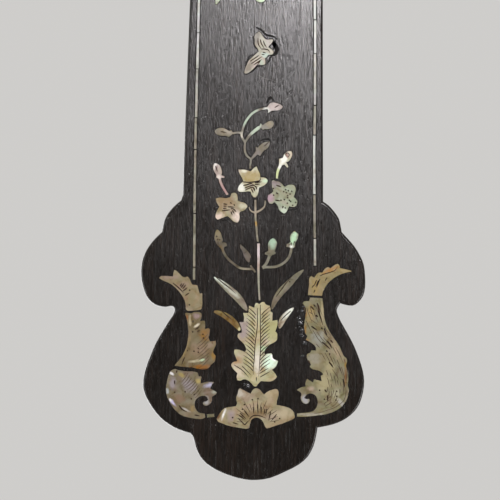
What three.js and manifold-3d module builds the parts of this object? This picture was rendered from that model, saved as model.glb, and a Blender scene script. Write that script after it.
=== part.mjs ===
// A long-necked moon lute in rosewood: round shallow body, high frets, four side
// pegs and a carved flat head inlaid with mother-of-pearl flowers and leaves.
// Millimetres, +Z up the neck, strings facing -Y, lowest point of the body at z = 0.
import * as THREE from 'three';
import { mergeVertices } from 'three/addons/utils/BufferGeometryUtils.js';
import Module from 'manifold-3d';

const wasm = await Module();
wasm.setup();

// ---- driving dimensions -------------------------------------------------
const TOTAL_LENGTH = 1030;
const BODY_RADIUS = 170;
const BODY_DEPTH = 60;
const BOARD_THICKNESS = 4;
const RIB_THICKNESS = 5;
const GAP = 0.3;                 // clearance between pieces that meet
const BODY_CENTRE_Z = BODY_RADIUS;

// Distances along the instrument are measured from the tip of the head.
const HEAD_LENGTH = 84;          // tip to the shoulders, where the stem starts
const HEAD_THICKNESS = 16;
const SLOT_START = 172;          // string slot in the pegbox
const SLOT_END = 284;
const SLOT_HALF_WIDTH = 10.5;
const SLOT_DEPTH = 25;
const NUT_AT = 292;
const NECK_END = TOTAL_LENGTH - 2 * BODY_RADIUS;
const MOTIF_LEAN = 0.008;        // the drawn pattern leans this much off the centreline
const MOTIF_PIVOT = 30;

const PEG_STATIONS = [190, 215, 240, 265];
const PEG_AXIS_DEPTH = 15;
const PEG_SHAFT_RADIUS = 5;
const PEG_TAPER = 0.4;           // the shaft is this much thinner at its far end
const PEG_HEAD_START = 20.6;
const PEG_SEGMENTS = 20;

const NUT_TOP = 24;              // heights stand proud of the front face
const NUT_THICKNESS = 7;
const STRING_HEIGHT_AT_NUT = 22.7;
const STRING_HEIGHT_AT_BRIDGE = 8.5;
const BRIDGE_AT = TOTAL_LENGTH - 86;
const BRIDGE_WIDTH = 12;
const STRING_X_AT_NUT = 8;
const STRING_X_AT_BRIDGE = 9.5;
const STRING_X_AT_PEG = 5.5;
const FRET_CLEARANCE = 1.8;
const FRET_THICKNESS = 4.6;
// Share of the open string between the nut and each fret.
const FRET_SHARES = [1 / 9, 5 / 32, 1 / 4, 1 / 3, 0.405, 0.4375, 1 / 2, 0.555, 0.625, 2 / 3];

const INLAY_THICKNESS = 0.8;
const POCKET_DEPTH = 1.0;
const POCKET_MARGIN = 0.15;

const ROSEWOOD = { color: 0x2b1c19, roughness: 0.42, metalness: 0 };
const PALE_BOARD = { color: 0xb58c5c, roughness: 0.6, metalness: 0 };
const SPRUCE = { color: 0xc7a77a, roughness: 0.7, metalness: 0 };
const BONE = { color: 0xe2d6bb, roughness: 0.4, metalness: 0 };
const SILK = { color: 0xd9c9a0, roughness: 0.5, metalness: 0 };
const PEARL = { color: 0xd8cdb8, roughness: 0.25, metalness: 0 };

// ---- solids -------------------------------------------------------------
function solid(geometry) {
  const plain = geometry.clone();
  plain.deleteAttribute('normal');
  plain.deleteAttribute('uv');
  const merged = mergeVertices(plain, 1e-4);
  return new wasm.Manifold(new wasm.Mesh({
    numProp: 3,
    vertProperties: new Float32Array(merged.attributes.position.array),
    triVerts: new Uint32Array(merged.index.array),
  }));
}

function geometryOf(manifold) {
  const mesh = manifold.getMesh();
  const geometry = new THREE.BufferGeometry();
  geometry.setAttribute('position', new THREE.BufferAttribute(mesh.vertProperties, 3));
  geometry.setIndex(new THREE.BufferAttribute(mesh.triVerts, 1));
  return geometry;
}

const group = new THREE.Group();
// The frame's origin sits under the middle of the bounding box.
group.position.y = -(BODY_DEPTH - NUT_TOP) / 2;

function add(name, shape, look) {
  const geometry = shape.isBufferGeometry ? shape : geometryOf(shape);
  const mesh = new THREE.Mesh(geometry, new THREE.MeshStandardMaterial(look));
  mesh.name = name;
  group.add(mesh);
}

const heightOf = (station) => TOTAL_LENGTH - station;

// A flat plate with its outline in (x, z), from depth y = front to y = front + thickness.
function plate(outline, front, thickness) {
  const shape = new THREE.Shape(outline.map(([x, z]) => new THREE.Vector2(x, z)));
  const geometry = new THREE.ExtrudeGeometry(shape, { depth: thickness, bevelEnabled: false });
  geometry.rotateX(Math.PI / 2);
  geometry.translate(0, front + thickness, 0);
  return geometry;
}

function box(xRange, yRange, zRange) {
  const size = [xRange, yRange, zRange].map(([low, high]) => high - low);
  const middle = [xRange, yRange, zRange].map(([low, high]) => (low + high) / 2);
  return new THREE.BoxGeometry(...size).translate(...middle);
}

// A round disc or plug on the body's axis, which runs along Y.
function disc(radius, front, thickness, segments = 96) {
  const geometry = new THREE.CylinderGeometry(radius, radius, thickness, segments);
  return geometry.translate(0, front + thickness / 2, 0).translate(0, 0, BODY_CENTRE_Z);
}

// ---- outline helpers ----------------------------------------------------
function signedArea(outline) {
  return outline.reduce((sum, [x, y], i) => {
    const [nextX, nextY] = outline[(i + 1) % outline.length];
    return sum + (x * nextY - nextX * y) / 2;
  }, 0);
}

const counterClockwise = (outline) => (signedArea(outline) > 0 ? outline : [...outline].reverse());

// Moves every side of a closed outline outward by distance, with short mitres.
function grow(outline, distance) {
  const ring = counterClockwise(outline);
  const longestMitre = 2.5;
  return ring.map((point, i) => {
    const here = new THREE.Vector2(...point);
    const before = new THREE.Vector2(...ring[(i + ring.length - 1) % ring.length]);
    const after = new THREE.Vector2(...ring[(i + 1) % ring.length]);
    const sideIn = here.clone().sub(before).normalize();
    const sideOut = after.sub(here).normalize();
    const normal = new THREE.Vector2(sideIn.y + sideOut.y, -sideIn.x - sideOut.x).normalize();
    const cosine = Math.max(normal.dot(new THREE.Vector2(sideIn.y, -sideIn.x)), 1 / longestMitre);
    return here.addScaledVector(normal, distance / cosine).toArray();
  });
}

// The outline of a band along a smooth line; widthAt gives its width from 0 to 1 along it.
function band(points, widthAt, steps) {
  const curve = new THREE.SplineCurve(points.map((point) => new THREE.Vector2(...point)));
  const left = [];
  const right = [];
  for (let i = 0; i <= steps; i += 1) {
    const t = i / steps;
    const centre = curve.getPoint(t);
    const along = curve.getTangent(t);
    const half = widthAt(t) / 2;
    left.push([centre.x - along.y * half, centre.y + along.x * half]);
    right.push([centre.x + along.y * half, centre.y - along.x * half]);
  }
  return left.concat(right.reverse());
}

const stalk = (points, startWidth, endWidth = startWidth) =>
  band(points, (t) => startWidth + (endWidth - startWidth) * t, 2 * (points.length - 1));

// A slim leaf with rounded sides that comes almost to a point at both ends.
const blade = (points, width, tipWidth = 0.25) =>
  band(points, (t) => tipWidth + (width - tipWidth) * Math.sin(Math.PI * t) ** 0.8, 12);

function fivePetals([centreU, centreV], outer, inner, turn) {
  const pointsPerPetal = 6;
  const outline = [];
  for (let i = 0; i < 5 * pointsPerPetal; i += 1) {
    const angle = turn + (2 * Math.PI * i) / (5 * pointsPerPetal);
    const swell = Math.abs(Math.sin((5 * (angle - turn)) / 2)) ** 0.7;
    const radius = inner + (outer - inner) * swell;
    outline.push([centreU + radius * Math.cos(angle), centreV + radius * Math.sin(angle)]);
  }
  return outline;
}

// ---- the pearl pattern --------------------------------------------------
// Drawn as (u, v): v runs from the tip of the head towards the body, u across it,
// positive towards the left hand of someone looking at the front, head up.
const PATTERN = {
  butterfly: [[
    [0.2, 132.8], [0.7, 133.4], [1.6, 134], [2, 133.6], [2.9, 132.3], [3.7, 131.6], [4.6, 131.6],
    [5.5, 131.7], [5.8, 131.4], [5.4, 130.6], [4.7, 129.9], [4.3, 129.3], [5.2, 128.7], [5.8, 128.1],
    [5.9, 127.6], [5.5, 127.1], [4.7, 127], [4.1, 126.8], [3.8, 126.3], [3.3, 126], [3.4, 125.2],
    [3.4, 124.3], [3, 124], [1, 124.1], [0.4, 123.4], [-0.9, 122.1], [-2.3, 121.3], [-2.9, 121.4],
    [-2.8, 122.4], [-2.3, 123.7], [-1.7, 125], [-0.7, 126.1], [0.3, 127], [1.4, 128], [1.1, 128.8],
    [0.3, 129.9], [0.2, 131.3],
  ]],
  upper_spray: [
    stalk([[-1.1, 92.7], [-1.1, 94], [-0.95, 95.6], [-1.9, 96.4], [-2.6, 97.6], [-2.8, 99.2],
      [-2.7, 100.6], [-3.3, 101.6], [-3.7, 102.6], [-3.6, 103.8], [-3.1, 105.5], [-2.5, 106.9],
      [-1.6, 108.2], [-0.5, 109.4], [0.8, 110.2], [2.2, 110.7], [4.3, 111.1]], 0.65, 0.7),
    stalk([[-3.7, 103.3], [-4.4, 103.6], [-5.2, 103.6], [-6.5, 103.3]], 0.6, 0.7),
    stalk([[-2.7, 100.6], [-1.9, 102], [-0.9, 103.2], [0.1, 104.1], [1.6, 105.2]], 0.6, 1.1),
    stalk([[-0.95, 95.6], [-0.2, 96.4], [0.8, 97.6]], 0.5, 1.1),
    [[-6.1, 103.3], [-6.8, 104.3], [-7.4, 104.1], [-8.3, 104.6], [-9.8, 105], [-11.2, 104.7],
      [-11.9, 104], [-11.4, 103.1], [-9.8, 102.6], [-8.2, 102.5], [-7.7, 102.1], [-6.9, 102.7]],
    [[3.7, 111], [4.6, 112.3], [5.3, 112.7], [6.6, 112.6], [8, 112.1], [8.7, 111.5], [8.1, 110.7],
      [6.8, 110.3], [5.4, 110.2], [4.1, 109.4], [4.2, 110.4]],
    [[1, 105.2], [1.7, 105.8], [1.9, 106.5], [2.6, 105.9], [3.6, 106.6], [4.8, 107.2], [5.6, 107.2],
      [6, 106.5], [5.6, 105.4], [4.3, 104.7], [3, 104.7], [2.7, 104.3], [2.2, 104.9]],
    [[0, 97], [0.5, 98.3], [0.4, 99.5], [1.1, 99.1], [2, 100.1], [3.3, 100.8], [4.8, 101],
      [4.7, 100.2], [4, 98.9], [3, 98.2], [2.4, 97.5], [1.8, 96.5], [1.2, 97]],
  ],
  flower_centre: [[
    [-4.7, 92.5], [-2.8, 92.5], [-1.6, 92.2], [-1.1, 92], [-0.6, 92.4], [0, 93.1], [0.8, 93.5],
    [1.3, 92.3], [1.8, 91.2], [1.9, 90.3], [2.6, 90.2], [3.6, 90], [4.1, 89.4], [4, 88.8], [3.2, 87.9],
    [2.2, 87.4], [1.5, 87.1], [1.4, 86.3], [1.1, 85], [0.5, 84.2], [-0.1, 84.2], [-0.7, 85], [-1, 85.9],
    [-1.6, 86], [-3.2, 85.8], [-4.5, 85.9], [-4.9, 86.3], [-4.7, 87.3], [-4, 88.3], [-3.2, 89],
    [-3.7, 90.2], [-4.4, 91.4],
  ]],
  flower_left: [[
    [-11.5, 83.7], [-10.8, 84], [-9.3, 84], [-8.6, 83.9], [-7.2, 84.2], [-6.8, 85.3], [-5.9, 85.6],
    [-5.2, 85.2], [-4.9, 84.1], [-4.9, 83.2], [-4.2, 82.9], [-3, 82.6], [-2.3, 82.1], [-1.9, 81.6],
    [-2.3, 80.9], [-3.1, 80.2], [-4.1, 79.8], [-4.4, 79.3], [-4.3, 78.4], [-4.5, 77.2], [-4.9, 76.6],
    [-5.7, 76.7], [-6.6, 77.3], [-7.4, 78.1], [-8, 78.5], [-8.6, 78.3], [-9.6, 77.9], [-10.9, 77.4],
    [-11.5, 78], [-11.5, 79], [-11.1, 80.1], [-10.4, 81.3], [-10.9, 82], [-11.3, 82.9],
  ]],
  flower_right: [[
    [5.3, 89.1], [5.8, 89.5], [6.6, 89.1], [7.7, 88.9], [8.5, 88.2], [9, 87.6], [9.4, 87.5],
    [10, 87.9], [11, 88.1], [12, 87.9], [12.5, 87.1], [12.4, 85.9], [11.9, 84.4], [12.6, 83.8],
    [13, 82.9], [12.7, 81.8], [11.9, 81.4], [10.6, 81.6], [10.3, 81], [9.8, 80], [9.1, 79.4],
    [8.3, 79.8], [7.4, 80.8], [7.1, 81.7], [6.6, 82.4], [6.1, 82.8], [5.4, 82.3], [4.6, 82.4],
    [4.2, 83.2], [4.1, 84.2], [4.3, 85], [4.9, 85.3], [5.8, 86.1], [5.4, 87.2], [5.3, 88.2],
  ]],
  bud_left: [
    [[-12.3, 93.5], [-11.8, 94.4], [-11, 94.2], [-10.2, 93.6], [-9.8, 92.6], [-9.6, 91.6],
      [-9.8, 90.8], [-8.7, 90.3], [-9, 90], [-9.9, 90], [-10.7, 89.7], [-11.3, 90], [-11.3, 90.8],
      [-11.8, 91.6], [-12.2, 92.5]],
    stalk([[-10.3, 90.2], [-10.1, 88.9], [-9.5, 87.5], [-8.7, 86.1], [-7.9, 84.9]], 0.8, 0.7),
  ],
  bud_right: [
    [[7.5, 95.9], [8.2, 96], [8.6, 96.2], [9, 97.1], [9.7, 97.8], [10.6, 98.2], [11.2, 98.1],
      [11.5, 97.4], [11.1, 96.1], [10.4, 95.1], [9.6, 94.8], [10.1, 94], [10.3, 93.4], [10, 93.1],
      [9.1, 94.1], [8.2, 93.8], [7.5, 94.3]],
    stalk([[8.4, 94.9], [7.8, 93.6], [7.2, 92.3], [6.95, 90.9], [6.85, 89.9]], 1, 0.6),
  ],
  stem_upper: [
    stalk([[0.4, 83.5], [0.45, 80], [0.45, 78], [0.7, 75.5], [0.9, 73], [1.15, 70.9]], 0.65, 0.6),
    stalk([[0.4, 79.6], [-0.7, 80], [-1.3, 80.7], [-1.45, 81.3]], 0.6, 0.3),
    stalk([[0.4, 79.6], [1.8, 80.3], [2.9, 81.2], [3.3, 82.2], [3.35, 83.3]], 0.7, 0.35),
  ],
  stem_lower: [stalk([[1.35, 70.4], [1.35, 66], [1.35, 62], [1.45, 57], [1.7, 53.3]], 0.85, 0.5)],
  spray_left: [
    [[-11, 74.5], [-11.4, 74.2], [-11.7, 73], [-11.9, 71.9], [-11.6, 70.9], [-11.1, 69.9],
      [-10.3, 69.1], [-9.6, 68.2], [-9, 68.5], [-8.9, 69.3], [-8.1, 69.5], [-8.2, 70.2], [-8.7, 70.6],
      [-9.6, 70.6], [-9.3, 71.3], [-9.6, 72.2], [-9.9, 73.3], [-10.4, 74.1]],
    stalk([[-9.4, 69], [-9.3, 68.2], [-8.7, 66.9], [-7.7, 65.6], [-6.3, 64.4], [-4.8, 63.3],
      [-3.5, 62.8], [-1.5, 62.7], [-0.4, 62.7]], 0.8, 0.7),
    stalk([[-1.1, 63.8], [-0.3, 62.7], [0.4, 61.7]], 0.6, 0.6),
  ],
  leaf_bud: [[
    [-4.2, 70.3], [-3.7, 69.8], [-2.9, 69.1], [-2, 68.2], [-1.1, 67], [-0.9, 66.4], [-1.2, 65.7],
    [-1.2, 64.9], [-1.6, 64.6], [-2.1, 65], [-2.8, 66], [-3.2, 67], [-3.5, 68], [-4.2, 69.2],
  ]],
  spray_right: [
    [[5.6, 72], [4.9, 71.5], [4.3, 70.6], [4.2, 69.5], [4.3, 68.2], [3.3, 67.7], [3.2, 67.1],
      [4, 66.9], [4.4, 66.1], [4.9, 66.2], [5.3, 66.8], [6.2, 67.2], [6.6, 67.6], [6.2, 68], [6.5, 69],
      [6.9, 70.2], [6.8, 71], [6.2, 71.8]],
    stalk([[4.7, 67], [4.3, 65.8], [3.9, 64.8], [3.3, 63.9], [2.5, 63.1]], 0.9, 0.8),
    [[12.1, 74.3], [11.5, 73.7], [10.9, 73], [10.8, 71.8], [11, 70.9], [10.3, 70.5], [9.7, 70.1],
      [9.7, 69.4], [10.9, 69.2], [11.6, 69], [12.3, 69.4], [12.4, 70.7], [12.9, 71.6], [13.3, 72.6],
      [13.3, 73.4], [12.7, 73.8]],
    stalk([[11.3, 69.6], [11, 67.8], [10.5, 66.4], [9.6, 65.2], [8.3, 64.2], [6.7, 63.5], [5, 63.3],
      [3.4, 63.3], [2.5, 63]], 0.8, 0.8),
  ],
  leaf_upper_left: [blade([[-12, 60.2], [-9.6, 58.3], [-7, 56.1], [-4.7, 53.9], [-3, 51.6], [-2.1, 50.1]], 2.4)],
  leaf_upper_right: [blade([[14.9, 62.6], [12.6, 60.6], [10, 57.9], [7.8, 55.6], [6.2, 53], [5.4, 50.6]], 2.2)],
  leaf_lower_left: [blade([[-12, 49.9], [-9.6, 49.1], [-7.2, 47.7], [-5.2, 45.7], [-4.3, 44.2]], 2, 0.5)],
  leaf_lower_right: [blade([[11.9, 51.2], [10.2, 49.6], [8.7, 47.8], [8, 46.2], [7.6, 44.9]], 1.9)],
  centre_leaf: [[
    [-1.5, 51.7], [0.1, 51.1], [0.4, 52.3], [0.9, 52.6], [1.6, 52.2], [2.4, 52.8], [3.1, 52.8],
    [3.6, 52.1], [4.8, 51.7], [5, 50.6], [4.9, 50.1], [5.6, 49.6], [5.5, 47.2], [7, 47.5],
    [7.1, 46.4], [6.4, 44], [6.9, 43.5], [7, 42.6], [6.8, 41.4], [6, 40.7], [4.8, 40.1], [3.8, 39.2],
    [3.2, 38.2], [3.2, 37.2], [5.2, 37.5], [5.5, 37], [5.6, 36.1], [6.4, 35.5], [7.2, 35.2],
    [6.9, 34.2], [6.4, 33.3], [5.4, 32.5], [6.5, 31.2], [6.9, 30.4], [6.4, 29.8], [5.3, 29.1],
    [3.5, 29], [2.1, 29.1], [1.2, 28.2], [0.7, 27.5], [0.1, 27.5], [-0.6, 28.2], [-1.7, 29.2],
    [-3, 29.6], [-4, 29.2], [-5, 29.3], [-5.2, 30.2], [-5, 31.4], [-5.6, 32], [-6.4, 32.9],
    [-6.9, 33.9], [-6.3, 34.7], [-5, 35], [-5.7, 36.8], [-6, 37.9], [-5.8, 38.5], [-4.8, 38.5],
    [-3.7, 38.2], [-2.8, 37.8], [-2.4, 38.4], [-2.6, 39.4], [-3.3, 40.5], [-4.3, 41.4],
    [-4.9, 42.4], [-4.8, 43.3], [-3.7, 43.6], [-3.7, 44.4], [-4.4, 46.7], [-3.1, 46.8], [-3, 48.2],
    [-3.3, 49.5], [-1.7, 49.5],
  ]],
  palmette: [[
    [-4.6, 26.6], [-4.2, 26.9], [-3.2, 26.4], [-2.1, 25.8], [-1, 25.3], [-0.7, 25.9], [-0.2, 26.6],
    [0.3, 26.9], [1, 26.9], [1.8, 26.5], [2.3, 25.9], [3, 25.1], [4.3, 26.1], [5.4, 26.5],
    [6.6, 26.8], [7.2, 26.4], [7.4, 25.4], [7.2, 24.2], [6.9, 23.2], [6.8, 22], [9, 21.6],
    [10.3, 21.2], [11.3, 20.6], [11.9, 19.9], [12.3, 18.3], [11.6, 17.7], [10.2, 17.1], [8.5, 16.4],
    [6.6, 15.8], [5, 15.2], [3.8, 14.9], [3.3, 15.5], [2.9, 16.4], [2.4, 17.3], [1.6, 17.9],
    [0.7, 18.1], [-0.2, 17.9], [-0.9, 17.2], [-1.2, 16.3], [-1.5, 15.1], [-1.9, 14.8],
    [-3.5, 14.9], [-5.5, 15.2], [-7.6, 15.6], [-9.5, 16.3], [-10.9, 17], [-11.2, 17.8],
    [-10.4, 19.1], [-9.2, 20.6], [-8.2, 21.1], [-7, 21.3], [-5.5, 21.5], [-5.1, 22.3],
    [-5.3, 23.3], [-5.3, 24.3], [-4.9, 25.3],
  ]],
  acanthus_left_top: [[
    [-28.5, 59.8], [-28, 60.3], [-26.5, 60.4], [-24.3, 60.3], [-24.2, 61.3], [-23.9, 62.3],
    [-23.3, 62], [-22.4, 61.2], [-21.7, 60.5], [-21.1, 60.1], [-19.9, 60.3], [-19.3, 59.6],
    [-18.9, 58.6], [-18.5, 57.9], [-17, 57.7], [-16.6, 56.2], [-16.3, 55.2], [-15.5, 55.4],
    [-15.5, 54.3], [-15.6, 51.2], [-15.9, 50.4], [-17, 50.2], [-19, 50], [-19.9, 50], [-20.4, 50.4],
    [-20.5, 51.5], [-20.7, 52.6], [-21.1, 53.7], [-21.8, 54.8], [-22.7, 56], [-23.8, 57.1],
    [-25, 58], [-26.5, 58.7], [-27.8, 59.3],
  ]],
  acanthus_left_middle: [[
    [-20.8, 49.2], [-20.2, 49.4], [-18.7, 49.3], [-18.2, 49.6], [-17, 49.7], [-16.1, 49.5],
    [-15.7, 49], [-15.8, 48], [-16.2, 46.9], [-15.1, 47.1], [-14.7, 46.9], [-14.6, 46],
    [-14.7, 44.6], [-13.6, 44.9], [-13.2, 44.5], [-13.4, 43], [-13.6, 42.2], [-13.2, 40.9],
    [-11.5, 41.1], [-11.4, 40.2], [-11.7, 39.3], [-12.1, 38.4], [-12.2, 37.5], [-11.5, 36.5],
    [-11.6, 35.6], [-11.8, 34.8], [-12.9, 33.9], [-13.3, 33.2], [-13.9, 32.7], [-15, 32.4],
    [-16.2, 32.5], [-18.7, 33], [-21.5, 33.2], [-23.9, 33.5], [-23.2, 34.4], [-22.2, 35.6],
    [-21.4, 36.8], [-20.8, 38], [-20.3, 39.2], [-20, 40.6], [-19.8, 42], [-19.7, 43.5],
    [-19.8, 45], [-20, 46.5], [-20.3, 48],
  ]],
  acanthus_left_scroll: [[
    [-24.9, 32], [-23.6, 32.5], [-23, 32.3], [-20.6, 31.9], [-17.5, 31.7], [-16.8, 31.4],
    [-16.6, 30.4], [-15.7, 30.3], [-16, 29.1], [-16, 28.3], [-15.1, 28.5], [-14, 28.8],
    [-11.9, 28.7], [-12.9, 27.4], [-13.1, 26.7], [-11.7, 26], [-11.1, 25.6], [-11.5, 25],
    [-12.6, 24.3], [-12.6, 23.3], [-12.9, 22.5], [-13.5, 21.9], [-14.3, 21.6], [-15, 21.7],
    [-15.4, 22.3], [-15.2, 22.8], [-14.3, 22.9], [-13.8, 23.4], [-14.2, 24.2], [-15, 24.5],
    [-16, 24.4], [-16.9, 23.9], [-17.5, 23.2], [-17.8, 22.2], [-17.7, 21.2], [-17.3, 20.3],
    [-16.6, 19.6], [-15.6, 19.3], [-14.8, 19.2], [-14.6, 18.1], [-15.5, 17.6], [-17, 17.6],
    [-18.6, 17.8], [-20, 18.1], [-21.4, 18.5], [-22.8, 19.4], [-24, 20.6], [-25, 22], [-25.8, 23.5],
    [-26.3, 25], [-26.4, 26.5], [-26.2, 28.2], [-25.9, 29.8], [-25.4, 31.2],
  ]],
  scroll_tail_left: [[[-14.1, 19], [-11.9, 19.2], [-11.9, 18.2], [-14.1, 18]]],
  acanthus_right_top: [[
    [16.2, 55], [16.3, 56.5], [16.5, 58], [16.7, 60.3], [17.2, 60.7], [18.1, 60.3], [18.6, 61],
    [19.2, 61.7], [20.5, 61.8], [20.9, 62.5], [21.6, 63.2], [22.3, 63.5], [22.9, 63.1], [23.5, 63.6],
    [24.3, 64.2], [25.1, 64.5], [25.6, 64.1], [25.8, 63.2], [27.8, 62.8], [29.2, 62.4], [29.2, 62.1],
    [28, 61.9], [26.5, 61.5], [25, 60.8], [23.6, 59.9], [22.3, 58.7], [21.3, 57.3], [20.7, 56],
    [20.4, 54.8],
  ]],
  acanthus_right_scroll: [[
    [16.8, 54.3], [20.5, 54.1], [20.9, 51], [21, 49.5], [21.2, 48], [21.6, 46.5], [22.2, 45.1],
    [22.9, 43.8], [23.8, 42.4], [24.8, 41], [25.7, 39.6], [26.4, 38], [27, 36.8], [27.8, 36],
    [27.9, 35], [27.6, 34], [28, 32.5], [28.2, 31], [28.3, 29.5], [28.1, 28], [28.5, 26.9],
    [28.3, 25.6], [27.8, 23.7], [27, 22.5], [26, 21.4], [24.7, 20.5], [23.2, 19.8], [21.5, 19.3],
    [19.5, 19], [17.5, 18.7], [15.5, 18.5], [12.9, 18.5], [12.9, 19.5], [15, 19.7], [16.5, 19.9],
    [17.6, 20.2], [18.4, 20.9], [18.9, 21.8], [19.1, 22.9], [18.9, 24], [18.4, 24.9], [17.5, 25.4],
    [16.6, 25.5], [15.8, 25.1], [15.1, 24.2], [15.5, 23.9], [16.6, 23.9], [16.6, 23.2],
    [16.2, 22.6], [15.5, 22.3], [14.7, 22.7], [14.2, 23.4], [14, 24.3], [14.2, 25.3], [13.7, 26],
    [12.8, 26.5], [13.5, 27], [14.4, 27.4], [15.5, 27.6], [15.4, 28.6], [15.9, 29.9], [16.6, 29.5],
    [17.7, 28.8], [18, 29.8], [20.3, 29.2], [20, 30.8], [20.8, 31.3], [19.6, 32.3], [18.3, 32.6],
    [17.2, 33], [16.7, 33.6], [17.1, 34.2], [16.1, 35.6], [15.8, 36.6], [16.1, 37.4], [16.8, 37.7],
    [17.2, 38.5], [18.6, 38.4], [18.5, 39.3], [17.8, 40.2], [16.6, 41], [15.5, 41.6], [16, 42.7],
    [15.5, 43.3], [15.2, 44.4], [15, 45.5], [15.1, 46.6], [15.4, 48.6], [15.5, 51], [14.6, 52.6],
    [15, 53.1], [16.5, 53.2],
  ]],
  upper_leaves: [
    blade([[-11.4, 142], [-9.3, 147.2], [-5, 153.4], [-0.2, 158.4]], 2.8),
    stalk([[2, 147.2], [2.4, 150.4], [1.6, 154.6], [-0.2, 158.4]], 0.8),
    [[1.9, 142.7], [2.8, 142.9], [3.4, 143.5], [3.7, 144.4], [3.6, 145.7], [3.1, 147], [2.2, 148.2],
      [1.2, 147], [0.5, 145.7], [0.3, 144.4], [0.5, 143.5], [1.1, 142.9]],
    stalk([[-0.2, 156.6], [0.2, 159.5], [0.2, 163]], 0.9),
    fivePetals([0.2, 164], 4, 1.9, 0.3),
  ],
};

// Border lines: one long strip down each side, from the acanthus leaf to the nut.
const STRIP_WIDTH = 0.9;
PATTERN.border_left = [stalk([[-18, 59.1], [-17.6, 99], [-16.5, 144], [-13.3, 280]], STRIP_WIDTH)];
PATTERN.border_right = [stalk([[18.3, 63.7], [18.1, 99], [18.3, 144], [16.3, 280]], STRIP_WIDTH)];

const onHead = (outline) => outline.map(([u, v]) =>
  [-(u - MOTIF_LEAN * (v - MOTIF_PIVOT)), heightOf(v)]);

// Joins the parts of one pearl piece into a flat solid, grown sideways by margin.
function pearlSolid(parts, margin, front, thickness) {
  return parts
    .map((outline) => {
      const placed = counterClockwise(onHead(outline));
      return solid(plate(margin ? grow(placed, margin) : placed, front, thickness));
    })
    .reduce((whole, piece) => whole.add(piece));
}

// ---- head, pegbox and neck, one piece of rosewood -------------------------
const mix = (a, b, t) => a + (b - a) * t;
const smooth = (low, high, value) => THREE.MathUtils.smoothstep(value, low, high);

function stemHalfWidth(v) {
  if (v < SLOT_END) return mix(21.1, 17.2, (v - HEAD_LENGTH) / (SLOT_END - HEAD_LENGTH));
  const neck = mix(15.6, 17.5, (v - NUT_AT) / (NECK_END - NUT_AT));
  return mix(17.2, neck, smooth(SLOT_END, NUT_AT + 18, v));
}

// Near the head the stem sits a little off the centreline.
const stemOffset = (v) => mix(0.7, 0, smooth(HEAD_LENGTH, SLOT_START, v));

function stemDepth(v) {
  const pegbox = mix(HEAD_THICKNESS, 32, smooth(HEAD_LENGTH, 160, v));
  const neck = mix(24, 27, (v - NUT_AT) / (NECK_END - NUT_AT));
  return mix(pegbox, neck, smooth(SLOT_END, 330, v));
}

// Exponent of the rounded back: high is square as on the pegbox, 2 is an ellipse.
const backSquareness = (v) => mix(6, 2.3, smooth(SLOT_END, 330, v));

function stemSolid() {
  const start = HEAD_LENGTH - 12;
  const end = NECK_END + 8;
  const arcPoints = 12;
  const section = [[-1, -1], [1, -1]];
  for (let i = 0; i <= arcPoints; i += 1) {
    const angle = (Math.PI * i) / arcPoints;
    section.push([Math.cos(angle), Math.sin(angle)]);
  }
  const shape = new THREE.Shape(section.map((point) => new THREE.Vector2(...point)));
  const geometry = new THREE.ExtrudeGeometry(shape, { depth: end - start, steps: 34, bevelEnabled: false });
  const position = geometry.attributes.position;
  for (let i = 0; i < position.count; i += 1) {
    const v = end - position.getZ(i);
    const width = stemHalfWidth(Math.max(v, HEAD_LENGTH));
    const depth = stemDepth(v);
    const power = 2 / backSquareness(v);
    const across = position.getX(i);
    const back = position.getY(i);
    const sideDepth = depth * 0.35;
    const onFront = back < -0.5;
    const roundness = Math.max(back, 0) ** power;
    const reach = Math.sign(across) * Math.min(Math.abs(across), 1) ** (onFront ? 1 : power);
    position.setX(i, stemOffset(v) + width * reach);
    position.setY(i, onFront ? 0 : sideDepth + (depth - sideDepth) * roundness);
    position.setZ(i, heightOf(v));
  }
  return solid(geometry);
}

// The head's outline in the pattern's coordinates, as smooth runs that meet in corners.
// It was cut by hand, so its two sides differ by up to a millimetre.
const HEAD_RUNS = [
  [[-20.8, 86.4], [-21.5, 84.2], [-21.9, 83.1]],
  [[-21.9, 83.1], [-23.5, 81.8], [-25, 80.2], [-26.2, 78.5], [-27, 76.6], [-27.4, 74.8], [-27.6, 73.6]],
  [[-27.6, 73.6], [-29.5, 71.8], [-31.4, 69.5], [-32.9, 66.8], [-33.8, 63.6], [-33.9, 60.4],
    [-33.3, 57], [-32.3, 54.3], [-30.8, 52.5], [-28.8, 51.4], [-26.6, 51.1], [-25, 51.4],
    [-24.1, 51], [-23.85, 50.1], [-24.3, 48.7], [-25.7, 46.6], [-27.6, 43.5], [-29.6, 40],
    [-31.3, 36], [-32.6, 32.4], [-33.3, 29], [-33.2, 26.2], [-32.2, 23.6], [-30.6, 20.9],
    [-28.4, 18.1], [-25.8, 16], [-22.6, 14.3], [-19.1, 13.2]],
  [[-19.1, 13.2], [-18.2, 11.9], [-17.6, 9.4], [-16.3, 6.4], [-14.1, 4], [-11, 2.1], [-7, 0.5],
    [-3, -0.5], [0.8, -0.7], [5, 0], [9.6, 2], [13.4, 4], [16.2, 6.5], [17.9, 9.7], [18.7, 12.8],
    [19.1, 15.2]],
  [[19.1, 15.2], [22.2, 15.8], [25.1, 16.7], [27.8, 18.1], [30.2, 20.2], [31.8, 22.7],
    [32.8, 26], [33.1, 29.3], [32.7, 32.4], [31.6, 36], [30, 40], [28, 43.8], [26, 47.3],
    [24.9, 50], [25.1, 51.3], [25.9, 52.6]],
  [[25.9, 52.6], [27.2, 52.2], [29.6, 51.9], [31.3, 52.9], [32.8, 54.9], [33.4, 57.5],
    [33.4, 60.8], [33, 64.2], [31.9, 66.9], [30.2, 69.7], [28.3, 71.9], [26.35, 74]],
  [[26.35, 74], [26, 76], [25.5, 78], [24.2, 80], [22.4, 82], [20.8, 83.1]],
  [[20.8, 83.1], [20.5, 84.3], [20.2, 86.4]],
];
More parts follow.
